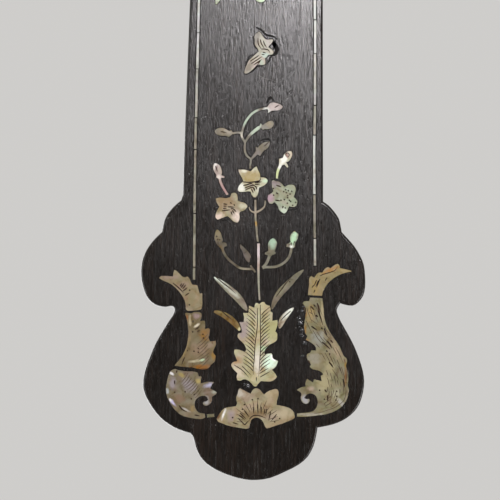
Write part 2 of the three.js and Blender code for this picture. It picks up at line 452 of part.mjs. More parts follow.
const POINTS_PER_SPAN = 2;

function headOutline() {
  const outline = HEAD_RUNS.flatMap((run) => {
    const curve = new THREE.SplineCurve(run.map((point) => new THREE.Vector2(...point)));
    const points = curve.getPoints(POINTS_PER_SPAN * (run.length - 1));
    return points.slice(1).map(({ x, y }) => [x, y]);
  });
  return onHead([HEAD_RUNS[0][0], ...outline]);
}

function roundedSlot() {
  const corner = 6;
  const top = heightOf(SLOT_START);
  const bottom = heightOf(SLOT_END);
  const outline = [];
  const corners = [[1, top, 0], [-1, top, 1], [-1, bottom, 2], [1, bottom, 3]];
  for (const [side, z, quarter] of corners) {
    const inward = z === top ? -corner : corner;
    for (let i = 0; i <= 3; i += 1) {
      const angle = (Math.PI / 2) * (quarter + i / 3);
      outline.push([
        side * (SLOT_HALF_WIDTH - corner) + corner * Math.cos(angle),
        z + inward + corner * Math.sin(angle),
      ]);
    }
  }
  return outline;
}

// Every other peg comes in from the other side of the pegbox.
const pegSide = (index) => (index % 2 === 0 ? 1 : -1);
const pegRadiusAt = (fromHead) => PEG_SHAFT_RADIUS - PEG_TAPER * fromHead;

function pegHole(index) {
  const side = pegSide(index);
  const overcut = 1 / Math.cos(Math.PI / PEG_SEGMENTS);
  const wide = pegRadiusAt(0) * overcut + 0.1;
  const narrow = pegRadiusAt(1) * overcut + 0.1;
  const hole = new THREE.CylinderGeometry(wide, narrow, 2 * PEG_HEAD_START, PEG_SEGMENTS);
  hole.rotateZ(-side * Math.PI / 2);
  return solid(hole.translate(0, PEG_AXIS_DEPTH, heightOf(PEG_STATIONS[index])));
}

const TENON = { halfWidth: 12, front: 8, back: 24, low: 302 };

function neckPiece() {
  const bodyCut = disc(BODY_RADIUS + GAP, -5, BODY_DEPTH + 10);
  const tenonTop = 2 * BODY_RADIUS + 6;
  let neck = solid(plate(headOutline(), 0, HEAD_THICKNESS)).add(stemSolid()).subtract(solid(bodyCut));
  neck = neck.add(solid(box([-TENON.halfWidth, TENON.halfWidth], [TENON.front, TENON.back],
    [TENON.low, tenonTop])));
  neck = neck.subtract(solid(plate(roundedSlot(), -1, SLOT_DEPTH + 1)));
  PEG_STATIONS.forEach((_, index) => {
    neck = neck.subtract(pegHole(index));
  });
  for (const parts of Object.values(PATTERN)) {
    neck = neck.subtract(pearlSolid(parts, POCKET_MARGIN, -1, 1 + POCKET_DEPTH));
  }
  return neck;
}

// ---- body ---------------------------------------------------------------
const RIB_FRONT = BOARD_THICKNESS + GAP;
const RIB_DEPTH = BODY_DEPTH - 2 * (BOARD_THICKNESS + GAP);
const INNER_RADIUS = BODY_RADIUS - RIB_THICKNESS;

// Half of the bent rim, from beside the neck's tenon down to the tail.
function ribHalf(side) {
  const segments = 40;
  const start = Math.asin((TENON.halfWidth + GAP) / INNER_RADIUS);
  const end = Math.PI - Math.asin(GAP / 2 / BODY_RADIUS);
  const arc = (radius, i) => {
    const angle = mix(start, end, i / segments);
    return [side * radius * Math.sin(angle), BODY_CENTRE_Z + radius * Math.cos(angle)];
  };
  const steps = Array.from({ length: segments + 1 }, (_, i) => i);
  const outline = steps.map((i) => arc(BODY_RADIUS, i))
    .concat(steps.reverse().map((i) => arc(INNER_RADIUS, i)));
  return plate(counterClockwise(outline), RIB_FRONT, RIB_DEPTH);
}

// Fills the rim behind the neck, between the upper ends of the two halves.
function heelPlate() {
  const back = RIB_FRONT + RIB_DEPTH;
  const filler = box([-TENON.halfWidth, TENON.halfWidth], [TENON.back + GAP, back],
    [2 * BODY_RADIUS - 20, 2 * BODY_RADIUS + 5]);
  return solid(filler)
    .intersect(solid(disc(BODY_RADIUS, 0, BODY_DEPTH)))
    .subtract(solid(disc(INNER_RADIUS, -1, BODY_DEPTH + 2)));
}

function blockSolid(zRange) {
  const block = box([-28, 28], [RIB_FRONT, RIB_FRONT + RIB_DEPTH], zRange);
  return solid(block).intersect(solid(disc(INNER_RADIUS - GAP, 0, BODY_DEPTH)));
}

function neckBlock() {
  const mortise = box([-TENON.halfWidth - GAP, TENON.halfWidth + GAP],
    [TENON.front - GAP, TENON.back + GAP], [TENON.low - GAP, 2 * BODY_RADIUS]);
  return blockSolid([292, 2 * BODY_RADIUS]).subtract(solid(mortise));
}

function braceBar(z, front, depth) {
  const thickness = 8;
  const reach = Math.abs(z - BODY_CENTRE_Z) + thickness / 2;
  const halfLength = Math.sqrt((INNER_RADIUS - GAP) ** 2 - reach ** 2) - 1;
  return box([-halfLength, halfLength], [front, front + depth], [z - thickness / 2, z + thickness / 2]);
}

// ---- strings, bridge, nut and frets -----------------------------------------
function stringHeight(v) {
  return mix(STRING_HEIGHT_AT_NUT, STRING_HEIGHT_AT_BRIDGE, (v - NUT_AT) / (BRIDGE_AT - NUT_AT));
}

function bridge() {
  const middle = heightOf(BRIDGE_AT);
  const halfLength = 48;
  const steps = 10;
  const edge = (t) => (BRIDGE_WIDTH / 2) * (1 - 0.68 * smooth(0.5, 1, t));
  const upper = [];
  const lower = [];
  for (let i = 0; i <= steps; i += 1) {
    const across = mix(-1, 1, i / steps);
    upper.push([halfLength * across, middle + edge(Math.abs(across))]);
    lower.push([halfLength * across, middle - edge(Math.abs(across))]);
  }
  let whole = solid(plate(lower.concat(upper.reverse()), -11, 11 - GAP));
  for (const side of [-1, 1]) {
    const hole = new THREE.CylinderGeometry(1.3, 1.3, BRIDGE_WIDTH + 4, 10).rotateX(Math.PI / 2);
    whole = whole.subtract(solid(hole.translate(side * STRING_X_AT_BRIDGE, -STRING_HEIGHT_AT_BRIDGE, middle)));
  }
  return whole;
}

// A thin upright wall across the neck, narrower at its rounded top.
function uprightWall(halfWidth, top, thickness, v) {
  const shoulder = 4;
  const shape = new THREE.Shape();
  shape.moveTo(-halfWidth, -GAP);
  shape.lineTo(-halfWidth * 0.86, -top + shoulder);
  shape.quadraticCurveTo(-halfWidth * 0.84, -top, -halfWidth * 0.84 + shoulder, -top);
  shape.lineTo(halfWidth * 0.84 - shoulder, -top);
  shape.quadraticCurveTo(halfWidth * 0.84, -top, halfWidth * 0.86, -top + shoulder);
  shape.lineTo(halfWidth, -GAP);
  const geometry = new THREE.ExtrudeGeometry(shape, { depth: thickness, bevelEnabled: false, curveSegments: 4 });
  return geometry.translate(0, 0, heightOf(v) - thickness / 2);
}

function nut() {
  let whole = solid(uprightWall(stemHalfWidth(NUT_AT), NUT_TOP, NUT_THICKNESS, NUT_AT));
  for (const side of [-1, 1]) {
    const notch = box([side * STRING_X_AT_NUT - 1.1, side * STRING_X_AT_NUT + 1.1],
      [-NUT_TOP - 1, -STRING_HEIGHT_AT_NUT + 1], [heightOf(NUT_AT) - 5, heightOf(NUT_AT) + 5]);
    whole = whole.subtract(solid(notch));
  }
  return whole;
}

// Straight runs of a thin string, joined by a small ball at each bend.
function rod(points, radius) {
  const sides = 8;
  let whole = null;
  points.slice(1).forEach((end, i) => {
    const start = points[i];
    const along = end.clone().sub(start);
    const run = new THREE.CylinderGeometry(radius, radius, along.length(), sides);
    run.applyQuaternion(new THREE.Quaternion().setFromUnitVectors(
      new THREE.Vector3(0, 1, 0), along.clone().normalize()));
    const middle = start.clone().addScaledVector(along, 0.5);
    const piece = solid(run.translate(...middle));
    whole = whole ? whole.add(piece) : piece;
    if (i > 0) {
      whole = whole.add(solid(new THREE.SphereGeometry(radius * 1.05, sides, 6).translate(...start)));
    }
  });
  return whole;
}

const WINDING_RADIUS = PEG_SHAFT_RADIUS + 1.9;

// One string: from behind the bridge, over the nut, down to the front of its peg.
function stringSolid(side, pegIndex, radius) {
  const pegZ = heightOf(PEG_STATIONS[pegIndex]);
  return rod([
    new THREE.Vector3(side * STRING_X_AT_BRIDGE, -STRING_HEIGHT_AT_BRIDGE, heightOf(BRIDGE_AT) - BRIDGE_WIDTH / 2 - 2),
    new THREE.Vector3(side * STRING_X_AT_NUT, -STRING_HEIGHT_AT_NUT, heightOf(NUT_AT) + NUT_THICKNESS / 2 + 0.5),
    new THREE.Vector3(side * STRING_X_AT_PEG, PEG_AXIS_DEPTH - WINDING_RADIUS - radius - GAP, pegZ - 1),
  ], radius);
}

// ---- pegs ---------------------------------------------------------------
// Profile of a turned peg: [distance from the pegbox centre along its axis, radius].
function pegGeometry(index) {
  const side = pegSide(index);
  const start = -PEG_HEAD_START + 1.4;
  const profile = [
    [start, 0], [start, pegRadiusAt(1)], [PEG_HEAD_START - 0.2, pegRadiusAt(0)],
    [PEG_HEAD_START, 7.4], [PEG_HEAD_START + 3, 8], [PEG_HEAD_START + 5, 5.6],
    [PEG_HEAD_START + 12, 6.4], [PEG_HEAD_START + 40, 11.4], [PEG_HEAD_START + 46, 11.6],
    [PEG_HEAD_START + 51, 8.8], [PEG_HEAD_START + 54, 6], [PEG_HEAD_START + 57, 5.2],
    [PEG_HEAD_START + 60, 3.4], [PEG_HEAD_START + 61, 0],
  ].map(([along, radius]) => new THREE.Vector2(radius, along));
  const geometry = new THREE.LatheGeometry(profile, PEG_SEGMENTS);
  geometry.rotateZ(-side * Math.PI / 2);
  return geometry.translate(0, PEG_AXIS_DEPTH, heightOf(PEG_STATIONS[index]));
}

function windingGeometry(side, pegIndex) {
  const halfWidth = 3.5;
  const inner = PEG_SHAFT_RADIUS + GAP;
  const ring = [[inner, -halfWidth], [WINDING_RADIUS, -halfWidth], [WINDING_RADIUS, halfWidth],
    [inner, halfWidth], [inner, -halfWidth]].map((point) => new THREE.Vector2(...point));
  const geometry = new THREE.LatheGeometry(ring, PEG_SEGMENTS);
  geometry.rotateZ(-Math.PI / 2);
  return geometry.translate(side * STRING_X_AT_PEG, PEG_AXIS_DEPTH, heightOf(PEG_STATIONS[pegIndex]));
}

// ---- assembly -------------------------------------------------------------
add('neck', neckPiece(), ROSEWOOD);
add('rib_left', ribHalf(-1), ROSEWOOD);
add('rib_right', ribHalf(1), ROSEWOOD);
add('heel_plate', heelPlate(), ROSEWOOD);
add('soundboard', disc(BODY_RADIUS, 0, BOARD_THICKNESS), PALE_BOARD);
add('back_board', disc(BODY_RADIUS, BODY_DEPTH - BOARD_THICKNESS, BOARD_THICKNESS), ROSEWOOD);
add('neck_block', neckBlock(), SPRUCE);
add('tail_block', blockSolid([0, 36]), SPRUCE);
add('soundboard_brace_upper', braceBar(228, RIB_FRONT, 12), SPRUCE);
add('soundboard_brace_lower', braceBar(122, RIB_FRONT, 12), SPRUCE);
add('back_brace', braceBar(170, BODY_DEPTH - BOARD_THICKNESS - GAP - 12, 12), SPRUCE);
add('bridge', bridge(), ROSEWOOD);
add('nut', nut(), BONE);

FRET_SHARES.forEach((share, i) => {
  const v = mix(NUT_AT, BRIDGE_AT, share);
  const halfWidth = stemHalfWidth(Math.min(v, NECK_END)) - 0.8;
  const wall = uprightWall(halfWidth, stringHeight(v) - FRET_CLEARANCE, FRET_THICKNESS, v);
  add(`fret_${String(i + 1).padStart(2, '0')}`, wall, BONE);
});

PEG_STATIONS.forEach((_, index) => add(`peg_${index + 1}`, pegGeometry(index), ROSEWOOD));

const STRINGS = [
  { name: 'treble', side: 1, peg: 2, radius: 0.45 },
  { name: 'bass', side: -1, peg: 3, radius: 0.6 },
];
for (const { name, side, peg, radius } of STRINGS) {
  add(`string_${name}`, stringSolid(side, peg, radius), SILK);
  add(`winding_${name}`, windingGeometry(side, peg), SILK);
}

for (const [name, parts] of Object.entries(PATTERN)) {
  add(`pearl_${name}`, pearlSolid(parts, 0, 0, INLAY_THICKNESS), PEARL);
}

export default group;
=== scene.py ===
"""Looks for a long-necked moon lute: dark rosewood, mother-of-pearl inlay, silk strings.

Metres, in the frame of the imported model. The camera looks straight at the front of the
head and is rolled half a turn, so the tip of the head is at the bottom of the picture.
"""
import math
import random

import bmesh
import bpy
from mathutils import Matrix, Vector


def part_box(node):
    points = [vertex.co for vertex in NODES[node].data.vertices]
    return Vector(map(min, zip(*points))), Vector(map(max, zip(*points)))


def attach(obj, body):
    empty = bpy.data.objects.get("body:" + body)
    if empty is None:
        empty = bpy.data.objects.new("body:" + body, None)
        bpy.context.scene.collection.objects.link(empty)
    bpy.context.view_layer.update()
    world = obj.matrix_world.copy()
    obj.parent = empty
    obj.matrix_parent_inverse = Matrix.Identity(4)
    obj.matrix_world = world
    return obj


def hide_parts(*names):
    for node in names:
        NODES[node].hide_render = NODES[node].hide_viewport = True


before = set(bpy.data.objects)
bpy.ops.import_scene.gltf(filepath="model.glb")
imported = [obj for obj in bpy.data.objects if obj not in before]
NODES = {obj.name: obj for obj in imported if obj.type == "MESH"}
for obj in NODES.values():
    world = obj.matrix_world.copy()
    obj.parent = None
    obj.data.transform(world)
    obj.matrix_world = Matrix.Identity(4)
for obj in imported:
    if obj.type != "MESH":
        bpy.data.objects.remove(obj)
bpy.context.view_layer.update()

MM = 0.001
FRONT_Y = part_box("soundboard")[0].y          # plane of the soundboard and the head's face
TIP_DROP = 0.7 * MM                          # the tip lies this far past the pattern's zero line
HEAD_ZERO_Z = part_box("neck")[1].z - TIP_DROP
PATTERN_LEAN = 0.008                         # the drawn pattern leans off the centreline
PATTERN_PIVOT = 30


def on_head(u, v, proud=0.0):
    """A point of the pattern: v mm from the head's tip, u mm across, proud mm off the face."""
    across = u - PATTERN_LEAN * (v - PATTERN_PIVOT)
    return Vector((-across * MM, FRONT_Y - proud * MM, HEAD_ZERO_Z - v * MM))


# ---- node graphs ------------------------------------------------------------
class Graph:
    """A material's nodes: add() makes a node and links or sets its inputs."""

    def __init__(self, name):
        self.material = bpy.data.materials.new(name)
        self.material.use_nodes = True
        self.tree = self.material.node_tree
        self.tree.nodes.clear()
        self.surface = self.add("ShaderNodeBsdfPrincipled")
        output = self.add("ShaderNodeOutputMaterial")
        self.link(self.surface.outputs["BSDF"], output.inputs["Surface"])
        self.coordinates = self.add("ShaderNodeTexCoord").outputs["Object"]

    def link(self, source, target):
        self.tree.links.new(source, target)

    def add(self, kind, inputs=None, **settings):
        node = self.tree.nodes.new(kind)
        for key, value in settings.items():
            setattr(node, key, value)
        self.fill(node, inputs or {})
        return node

    def fill(self, node, inputs):
        for key, value in inputs.items():
            if isinstance(value, bpy.types.NodeSocket):
                self.link(value, node.inputs[key])
            else:
                node.inputs[key].default_value = value

    def scaled(self, scale, offset=(0, 0, 0)):
        mapping = self.add("ShaderNodeMapping", {"Vector": self.coordinates, "Scale": scale, "Location": offset})
        return mapping.outputs["Vector"]

    def noise(self, scale, offset=(0, 0, 0), detail=3.0, distortion=0.0):
        vector = self.scaled(scale, offset)
        settings = {"Vector": vector, "Scale": 1.0, "Detail": detail, "Distortion": distortion}
        return self.add("ShaderNodeTexNoise", settings).outputs["Fac"]

    def ramp(self, fac, stops):
        node = self.add("ShaderNodeValToRGB", {"Fac": fac})
        elements = node.color_ramp.elements
        while len(elements) < len(stops):
            elements.new(0.5)
        for element, (place, colour) in zip(elements, stops):
            element.position = place
            element.color = (*colour, 1.0)
        return node.outputs["Color"]

    def level(self, value, low, high, to_low=0.0, to_high=1.0):
        node = self.add("ShaderNodeMapRange", {
            "Value": value, "From Min": low, "From Max": high, "To Min": to_low, "To Max": to_high})
        return node.outputs["Result"]

    def mix(self, fac, first, second, blend="MIX"):
        node = self.add("ShaderNodeMix", data_type="RGBA", blend_type=blend)
        for index, value in ((0, fac), (6, first), (7, second)):
            if isinstance(value, bpy.types.NodeSocket):
                self.link(value, node.inputs[index])
            elif index == 0:
                node.inputs[index].default_value = value
            else:
                node.inputs[index].default_value = (*value, 1.0)
        return node.outputs[2]

    def maths(self, operation, first, second=0.0):
        node = self.add("ShaderNodeMath", {0: first, 1: second}, operation=operation)
        return node.outputs[0]

    def bump(self, height, distance, strength=1.0, normal=None):
        inputs = {"Height": height, "Distance": distance, "Strength": strength}
        if normal is not None:
            inputs["Normal"] = normal
        return self.add("ShaderNodeBump", inputs).outputs["Normal"]

    def finish(self, **inputs):
        self.fill(self.surface, {key.replace("_", " "): value for key, value in inputs.items()})
        return self.material


def wood(name, dark, middle, light, roughness=(0.34, 0.5), grain="Z", fineness=1.0, pores=0.6, shift=0.0,
         depth=0.00006, specular=0.5, scratched=0.0, run=1.0, speckle=0.0):
    """Straight-grained wood: streaks and open pores run along the grain axis.

    A run under 1 makes the streaks longer. Speckle roughens the polish with short fibres.
    """
    graph = Graph(name)
    along = "XYZ".index(grain)

    def stretched(across, length):
        scale = [across * fineness] * 3
        scale[along] = length * run
        return tuple(scale)

    offset = (shift, 2.3 * shift, 1.7 * shift)
    streaks = graph.noise(stretched(900, 30), offset, detail=5.0, distortion=0.3)
    bands = graph.noise(stretched(110, 4), offset, detail=3.0, distortion=0.6)
    pore = graph.noise(stretched(1700, 120), offset, detail=2.0)
    blend = graph.maths("ADD", graph.maths("MULTIPLY", streaks, 0.6), graph.maths("MULTIPLY", bands, 0.4))
    colour = graph.ramp(blend, [(0.36, dark), (0.5, middle), (0.64, light)])
    open_pore = graph.level(pore, 0.6, 0.68)
    colour = graph.mix(graph.maths("MULTIPLY", open_pore, pores), colour, tuple(c * 0.3 for c in dark))
    wear = graph.noise((70, 70, 50), offset, detail=7.0)
    dullness = graph.maths("ADD", graph.maths("MULTIPLY", wear, 0.6), graph.maths("MULTIPLY", streaks, 0.4))
    gloss = graph.level(dullness, 0.38, 0.62, roughness[0], roughness[1])
    height = graph.maths("SUBTRACT", graph.maths("MULTIPLY", streaks, 0.5), open_pore)
    if speckle:
        fibres = graph.noise(stretched(1300, 120), offset, detail=4.0, distortion=0.2)
        height = graph.maths("ADD", height, graph.maths("MULTIPLY", fibres, speckle))
        gloss = graph.maths("ADD", gloss, graph.level(fibres, 0.35, 0.65, -0.035, 0.035))
    for tilt, seed in ((23, 3.0), (-31, 7.0), (64, 11.0)) if scratched else ():
        turned = graph.add("ShaderNodeMapping", {"Vector": graph.coordinates, "Rotation": (0, math.radians(tilt), 0),
                                                 "Scale": (1900, 40, 55), "Location": (seed, seed, seed)})
        hair = graph.add("ShaderNodeTexNoise", {"Vector": turned.outputs["Vector"], "Scale": 1.0, "Detail": 1.0})
        line = graph.level(hair.outputs["Fac"], 0.7, 0.74)
        height = graph.maths("SUBTRACT", height, graph.maths("MULTIPLY", line, scratched))
    return graph.finish(Base_Color=colour, Roughness=gloss, Normal=graph.bump(height, depth),
                        Specular_IOR_Level=specular)


# Drifts of colour in shell, as tints that multiply the base colour.
DRIFT = [(0.3, (1.0, 0.86, 0.9)), (0.42, (1.0, 0.97, 0.8)), (0.53, (0.86, 1.0, 0.86)), (0.64, (0.93, 0.9, 1.0)),
         (0.72, (1.0, 0.88, 0.95))]


def pearl(name, pale, tint, shade, highlights_and_stains=(), shift=0.0, drift=0.62, tone=(1, 1, 1)):
    """Shell: wavy growth layers, drifts of pink and green, stains and brighter patches.

    Each listed patch is (u, v, half length, half breadth, tilt in degrees, colour): a ragged oval. Pale patches
    are painted highlights, where light flashes off the layers; dark ones are real stains. tone dims and tints the whole
    piece.
    """
    graph = Graph(name)
    offset = (shift, shift * 3.1, shift * 1.9)
    layers = graph.noise((420, 420, 420), offset, detail=5.0, distortion=0.7)
    colour = graph.ramp(layers, [(0.2, shade), (0.5, tint), (0.8, pale)])
    patches = graph.noise((170, 170, 170), offset, detail=3.0, distortion=0.9)
    colour = graph.mix(drift, colour, graph.ramp(patches, DRIFT), "MULTIPLY")
    raggedness = graph.level(graph.noise((700, 700, 700), offset, detail=4.0), 0.3, 0.7, -0.3, 0.3)
    # Pale patches are painted highlights; dark patches are real stains.
    for u, v, length, breadth, tilt, highlight_and_stain in highlights_and_stains:
        oval = graph.add("ShaderNodeMapping", {
            "Vector": graph.coordinates, "Location": on_head(u, v), "Rotation": (0, math.radians(tilt), 0),
            "Scale": (length * MM, 1, breadth * MM)}, vector_type="TEXTURE")
        reach = graph.add("ShaderNodeVectorMath", {0: oval.outputs["Vector"]}, operation="LENGTH")
        edge = graph.maths("ADD", reach.outputs["Value"], raggedness)
        colour = graph.mix(graph.level(edge, 0.42, 1.18, 1.0, 0.0), colour, highlight_and_stain)
    stain = graph.level(graph.noise((650, 650, 650), (shift + 4, 0, shift), detail=6.0), 0.6, 0.76, 0.0, 0.35)
    colour = graph.mix(stain, colour, tuple(0.5 * c for c in shade))
    colour = graph.mix(1.0, colour, tone, "MULTIPLY")
    vivid = graph.add("ShaderNodeHueSaturation", {"Color": colour, "Saturation": 1.1, "Value": 1.06})
    colour = vivid.outputs["Color"]
    lines = graph.noise((1300, 1300, 500), offset, detail=3.0, distortion=0.7)
    ripple = graph.bump(graph.noise((260, 260, 260), offset, detail=1.0), 0.0003, 0.4)
    normal = graph.bump(lines, 0.00003, 0.5, ripple)
    gloss = graph.level(layers, 0.3, 0.7, 0.22, 0.42)
    return graph.finish(Base_Color=colour, Roughness=gloss, Normal=normal, Specular_IOR_Level=0.35,
                        Coat_Weight=0.15, Coat_Roughness=0.12)


def plain(name, first, second, roughness, scale=400.0, stretch=1.0, grime=None, depth=0.00003, specular=0.5):
    """A close, slightly mottled surface, such as bone, lacquer or mastic."""
    graph = Graph(name)
    fine = graph.noise((scale, scale, scale * stretch), detail=5.0)
    colour = graph.mix(graph.level(fine, 0.35, 0.65), first, second)
    if grime:
        dirt = graph.level(graph.noise((70, 70, 70), (3, 1, 2), detail=6.0), 0.5, 0.68, 0.0, 0.8)
        colour = graph.mix(dirt, colour, grime)
    gloss = graph.level(fine, 0.3, 0.7, roughness[0], roughness[1])
    return graph.finish(Base_Color=colour, Roughness=gloss, Normal=graph.bump(fine, depth),
                        Specular_IOR_Level=specular)


ROSEWOOD = {"dark": (0.0052, 0.0037, 0.0028), "middle": (0.0086, 0.006, 0.0044), "light": (0.0152, 0.0096, 0.0068)}
head_wood = wood("rosewood_head", **ROSEWOOD, roughness=(0.19, 0.25), shift=0.3, depth=0.000018, specular=0.28,
                 fineness=1.9, pores=0.4, scratched=1.6, run=4.0, speckle=1.8)
rib_wood = wood("rosewood_rib", dark=(0.008, 0.004, 0.003), middle=(0.02, 0.01, 0.0075),
                light=(0.042, 0.022, 0.016), roughness=(0.28, 0.4), fineness=0.6, shift=5.1)
peg_wood = wood("rosewood_turned", dark=(0.006, 0.004, 0.003), middle=(0.014, 0.009, 0.007),
                light=(0.03, 0.019, 0.014), roughness=(0.26, 0.38), grain="X", shift=8.4)
back_wood = wood("rosewood_back", dark=(0.014, 0.006, 0.004), middle=(0.036, 0.016, 0.01),
                 light=(0.07, 0.033, 0.02), roughness=(0.3, 0.42), fineness=0.5, shift=2.2, run=0.3)
board_wood = wood("paulownia_board", dark=(0.27, 0.165, 0.08), middle=(0.4, 0.27, 0.145),
                  light=(0.49, 0.35, 0.2), roughness=(0.46, 0.6), fineness=0.55, pores=0.3, shift=1.2, run=0.12)
inner_wood = wood("spruce_inner", dark=(0.34, 0.22, 0.11), middle=(0.45, 0.31, 0.17), light=(0.55, 0.4, 0.24),
                  roughness=(0.6, 0.75), grain="X", fineness=0.5, pores=0.2, shift=3.0)
bamboo = wood("bamboo", dark=(0.16, 0.085, 0.03), middle=(0.28, 0.165, 0.065), light=(0.4, 0.26, 0.12),
              roughness=(0.35, 0.5), grain="X", fineness=1.0, pores=0.4, shift=6.0)
bone = plain("bone", (0.5, 0.41, 0.27), (0.62, 0.54, 0.39), (0.28, 0.4), 260.0, 0.2, grime=(0.26, 0.17, 0.09))
silk = plain("silk", (0.42, 0.31, 0.15), (0.55, 0.45, 0.25), (0.45, 0.6), 2600.0, 0.35)
mastic = plain("dark_mastic", (0.0022, 0.0018, 0.0015), (0.007, 0.005, 0.0042), (0.5, 0.75), 900.0,
               depth=0.0001, specular=0.12)
ink = plain("engraving_fill", (0.014, 0.006, 0.0025), (0.045, 0.021, 0.009), (0.5, 0.7), 900.0, specular=0.1)
fine_ink = plain("fine_engraving", (0.05, 0.03, 0.016), (0.11, 0.068, 0.038), (0.5, 0.7), 900.0, specular=0.15)
lump_mastic = plain("glossy_mastic", (0.0015, 0.0015, 0.0018), (0.004, 0.004, 0.005), (0.12, 0.3), 1500.0, depth=0.0003)
bare_wood = plain("bare_scratch", (0.05, 0.045, 0.04), (0.15, 0.14, 0.125), (0.5, 0.7), 1400.0)


# ---- mesh helpers ------------------------------------------------------------
def piece(name, mesh, material, body="lute", replaces=()):
    """Puts a finished mesh in the scene, riding on a body."""
    built = bpy.data.objects.new(name, mesh)
    bpy.context.collection.objects.link(built)
    mesh.materials.clear()
    mesh.materials.append(material)
    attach(built, body)
    if replaces:
        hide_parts(*replaces)
    return built


def smooth_shading(target, angle=35.0, weighted=False):
    target.data.polygons.foreach_set("use_smooth", [True] * len(target.data.polygons))
    target.data.set_sharp_from_angle(angle=math.radians(angle))
    if weighted:
        modifier = target.modifiers.new("even normals", "WEIGHTED_NORMAL")
        modifier.keep_sharp = True
        modifier.weight = 100


def mesh_from(name, vertices, faces):
    mesh = bpy.data.meshes.new(name)
    mesh.from_pydata(vertices, [], faces)
    mesh.validate()
    shape = bmesh.new()
    shape.from_mesh(mesh)
    bmesh.ops.recalc_face_normals(shape, faces=shape.faces)
    shape.to_mesh(mesh)
    shape.free()
    return mesh


def front_loops(node):
    """The closed outlines, as lists of (x, z), of a flat CAD piece's front face."""
    shape = bmesh.new()
    shape.from_mesh(NODES[node].data)
    bmesh.ops.remove_doubles(shape, verts=shape.verts, dist=0.01 * MM)
    front = min(v.co.y for v in shape.verts)
    flat = {f for f in shape.faces if max(v.co.y for v in f.verts) < front + 0.05 * MM}
    around = {}
    for edge in shape.edges:
        if sum(f in flat for f in edge.link_faces) == 1:
            a, b = edge.verts
            around.setdefault(a, []).append(b)
            around.setdefault(b, []).append(a)
    loops = []
    unused = dict.fromkeys(sorted(around, key=lambda v: (v.co.x, v.co.z)))
    while unused:
        start = next(iter(unused))
        loop, here, before = [], start, None
        while here in unused:
            del unused[here]
            loop.append((here.co.x, here.co.z))
            onward = [v for v in around[here] if v is not before]
            before, here = here, onward[0]
        if len(loop) > 2:
            loops.append(loop)
    shape.free()
    return loops


def turning(before, here, after):
    first = Vector((here[0] - before[0], here[1] - before[1]))
    second = Vector((after[0] - here[0], after[1] - here[1]))
    return abs(first.angle_signed(second, 0.0)) if first.length and second.length else 0.0


def flat_curve(name, loops, sharp_angle, resolution, thickness, bevel, offset):
    """A 2-D Bezier plate with round bevels, made into a mesh lying in the XZ plane."""
    curve = bpy.data.curves.new(name, "CURVE")
    curve.dimensions = "2D"
    curve.fill_mode = "BOTH"
    curve.resolution_u = resolution
    curve.extrude = thickness / 2 - bevel
    curve.bevel_depth = bevel
    curve.bevel_resolution = 1
    curve.offset = offset
    for loop in loops:
        spline = curve.splines.new("BEZIER")
        spline.bezier_points.add(len(loop) - 1)
        spline.use_cyclic_u = True
        for i, (x, z) in enumerate(loop):
            point = spline.bezier_points[i]
            point.co = (x, z, 0)
            corner = turning(loop[i - 1], loop[i], loop[(i + 1) % len(loop)]) > sharp_angle
            kind = "VECTOR" if corner else "AUTO"
            point.handle_left_type = kind
            point.handle_right_type = kind
    holder = bpy.data.objects.new(name, curve)
    bpy.context.collection.objects.link(holder)
    evaluated = holder.evaluated_get(bpy.context.evaluated_depsgraph_get())
    mesh = bpy.data.meshes.new_from_object(evaluated)
    bpy.data.objects.remove(holder)
    bpy.data.curves.remove(curve)
    shape = bmesh.new()
    shape.from_mesh(mesh)
    bmesh.ops.remove_doubles(shape, verts=shape.verts, dist=0.001 * MM)
    bmesh.ops.recalc_face_normals(shape, faces=shape.faces)
    shape.to_mesh(mesh)
    shape.free()
    mesh.transform(Matrix.Rotation(math.radians(90), 4, "X"))
    return mesh


def rim_loops(shape, flat):
    """Closed loops of vertices round the flat faces; the wood is on the left of each loop."""
    ahead, wall_depth = {}, {}
    front = min(v.co.y for v in shape.verts)
    for face in flat:
        for link in face.loops:
            walls = [f for f in link.edge.link_faces if f not in flat]
            if walls:
                ahead[link.vert] = link.link_loop_next.vert
                wall_depth[link.vert] = max(v.co.y for v in walls[0].verts) - front
    unused = dict.fromkeys(sorted(ahead, key=lambda v: (round(v.co.z, 6), round(v.co.x, 6))))
    loops = []
    while unused:
        loop, here = [], next(iter(unused))
        while here in unused:
            del unused[here]
            loop.append(here)
            here = ahead[here]
        loops.append((loop, max(wall_depth[v] for v in loop)))
    return loops


def round_rim(shape, loop, width, steps, normals):
    """Builds a quarter-round from a loop of vertices to the front plane; returns its inner ring."""
    count = len(loop)
    front = loop[0].co.y
    sides = []
    for i, vert in enumerate(loop):
        onward = loop[(i + 1) % count].co - vert.co
        sides.append(Vector((onward.z, -onward.x)).normalized())
    corners = [(sides[i - 1] + sides[i]).normalized() for i in range(count)]
    rings = [loop]
    for k in range(1, steps + 1):
        angle = math.radians(90) * k / steps
        made = []
        for vert, corner, side in zip(loop, corners, sides):
            inward = corner * (-width * (1 - math.cos(angle)) / max(0.5, corner.dot(side)))
            y = front + width * (1 - math.sin(angle))
            made.append(shape.verts.new((vert.co.x + inward.x, y, vert.co.z + inward.y)))
        rings.append(made)
    for vert in loop:
        vert.co.y = front + width
    for k in range(steps):
        for i in range(count):
            j = (i + 1) % count
            face = shape.faces.new((rings[k][i], rings[k][j], rings[k + 1][j], rings[k + 1][i]))
            for vert, at, level in zip(face.verts, (i, j, j, i), (k, k, k + 1, k + 1)):
                gentle = corners[at].dot(sides[at]) > math.cos(math.radians(18))
                outward = corners[at] if gentle else sides[i]
                angle = math.radians(90) * level / steps
                normals[(face, vert)] = (outward.x * math.cos(angle), -math.sin(angle),
                                         outward.y * math.cos(angle))
    return rings[-1]


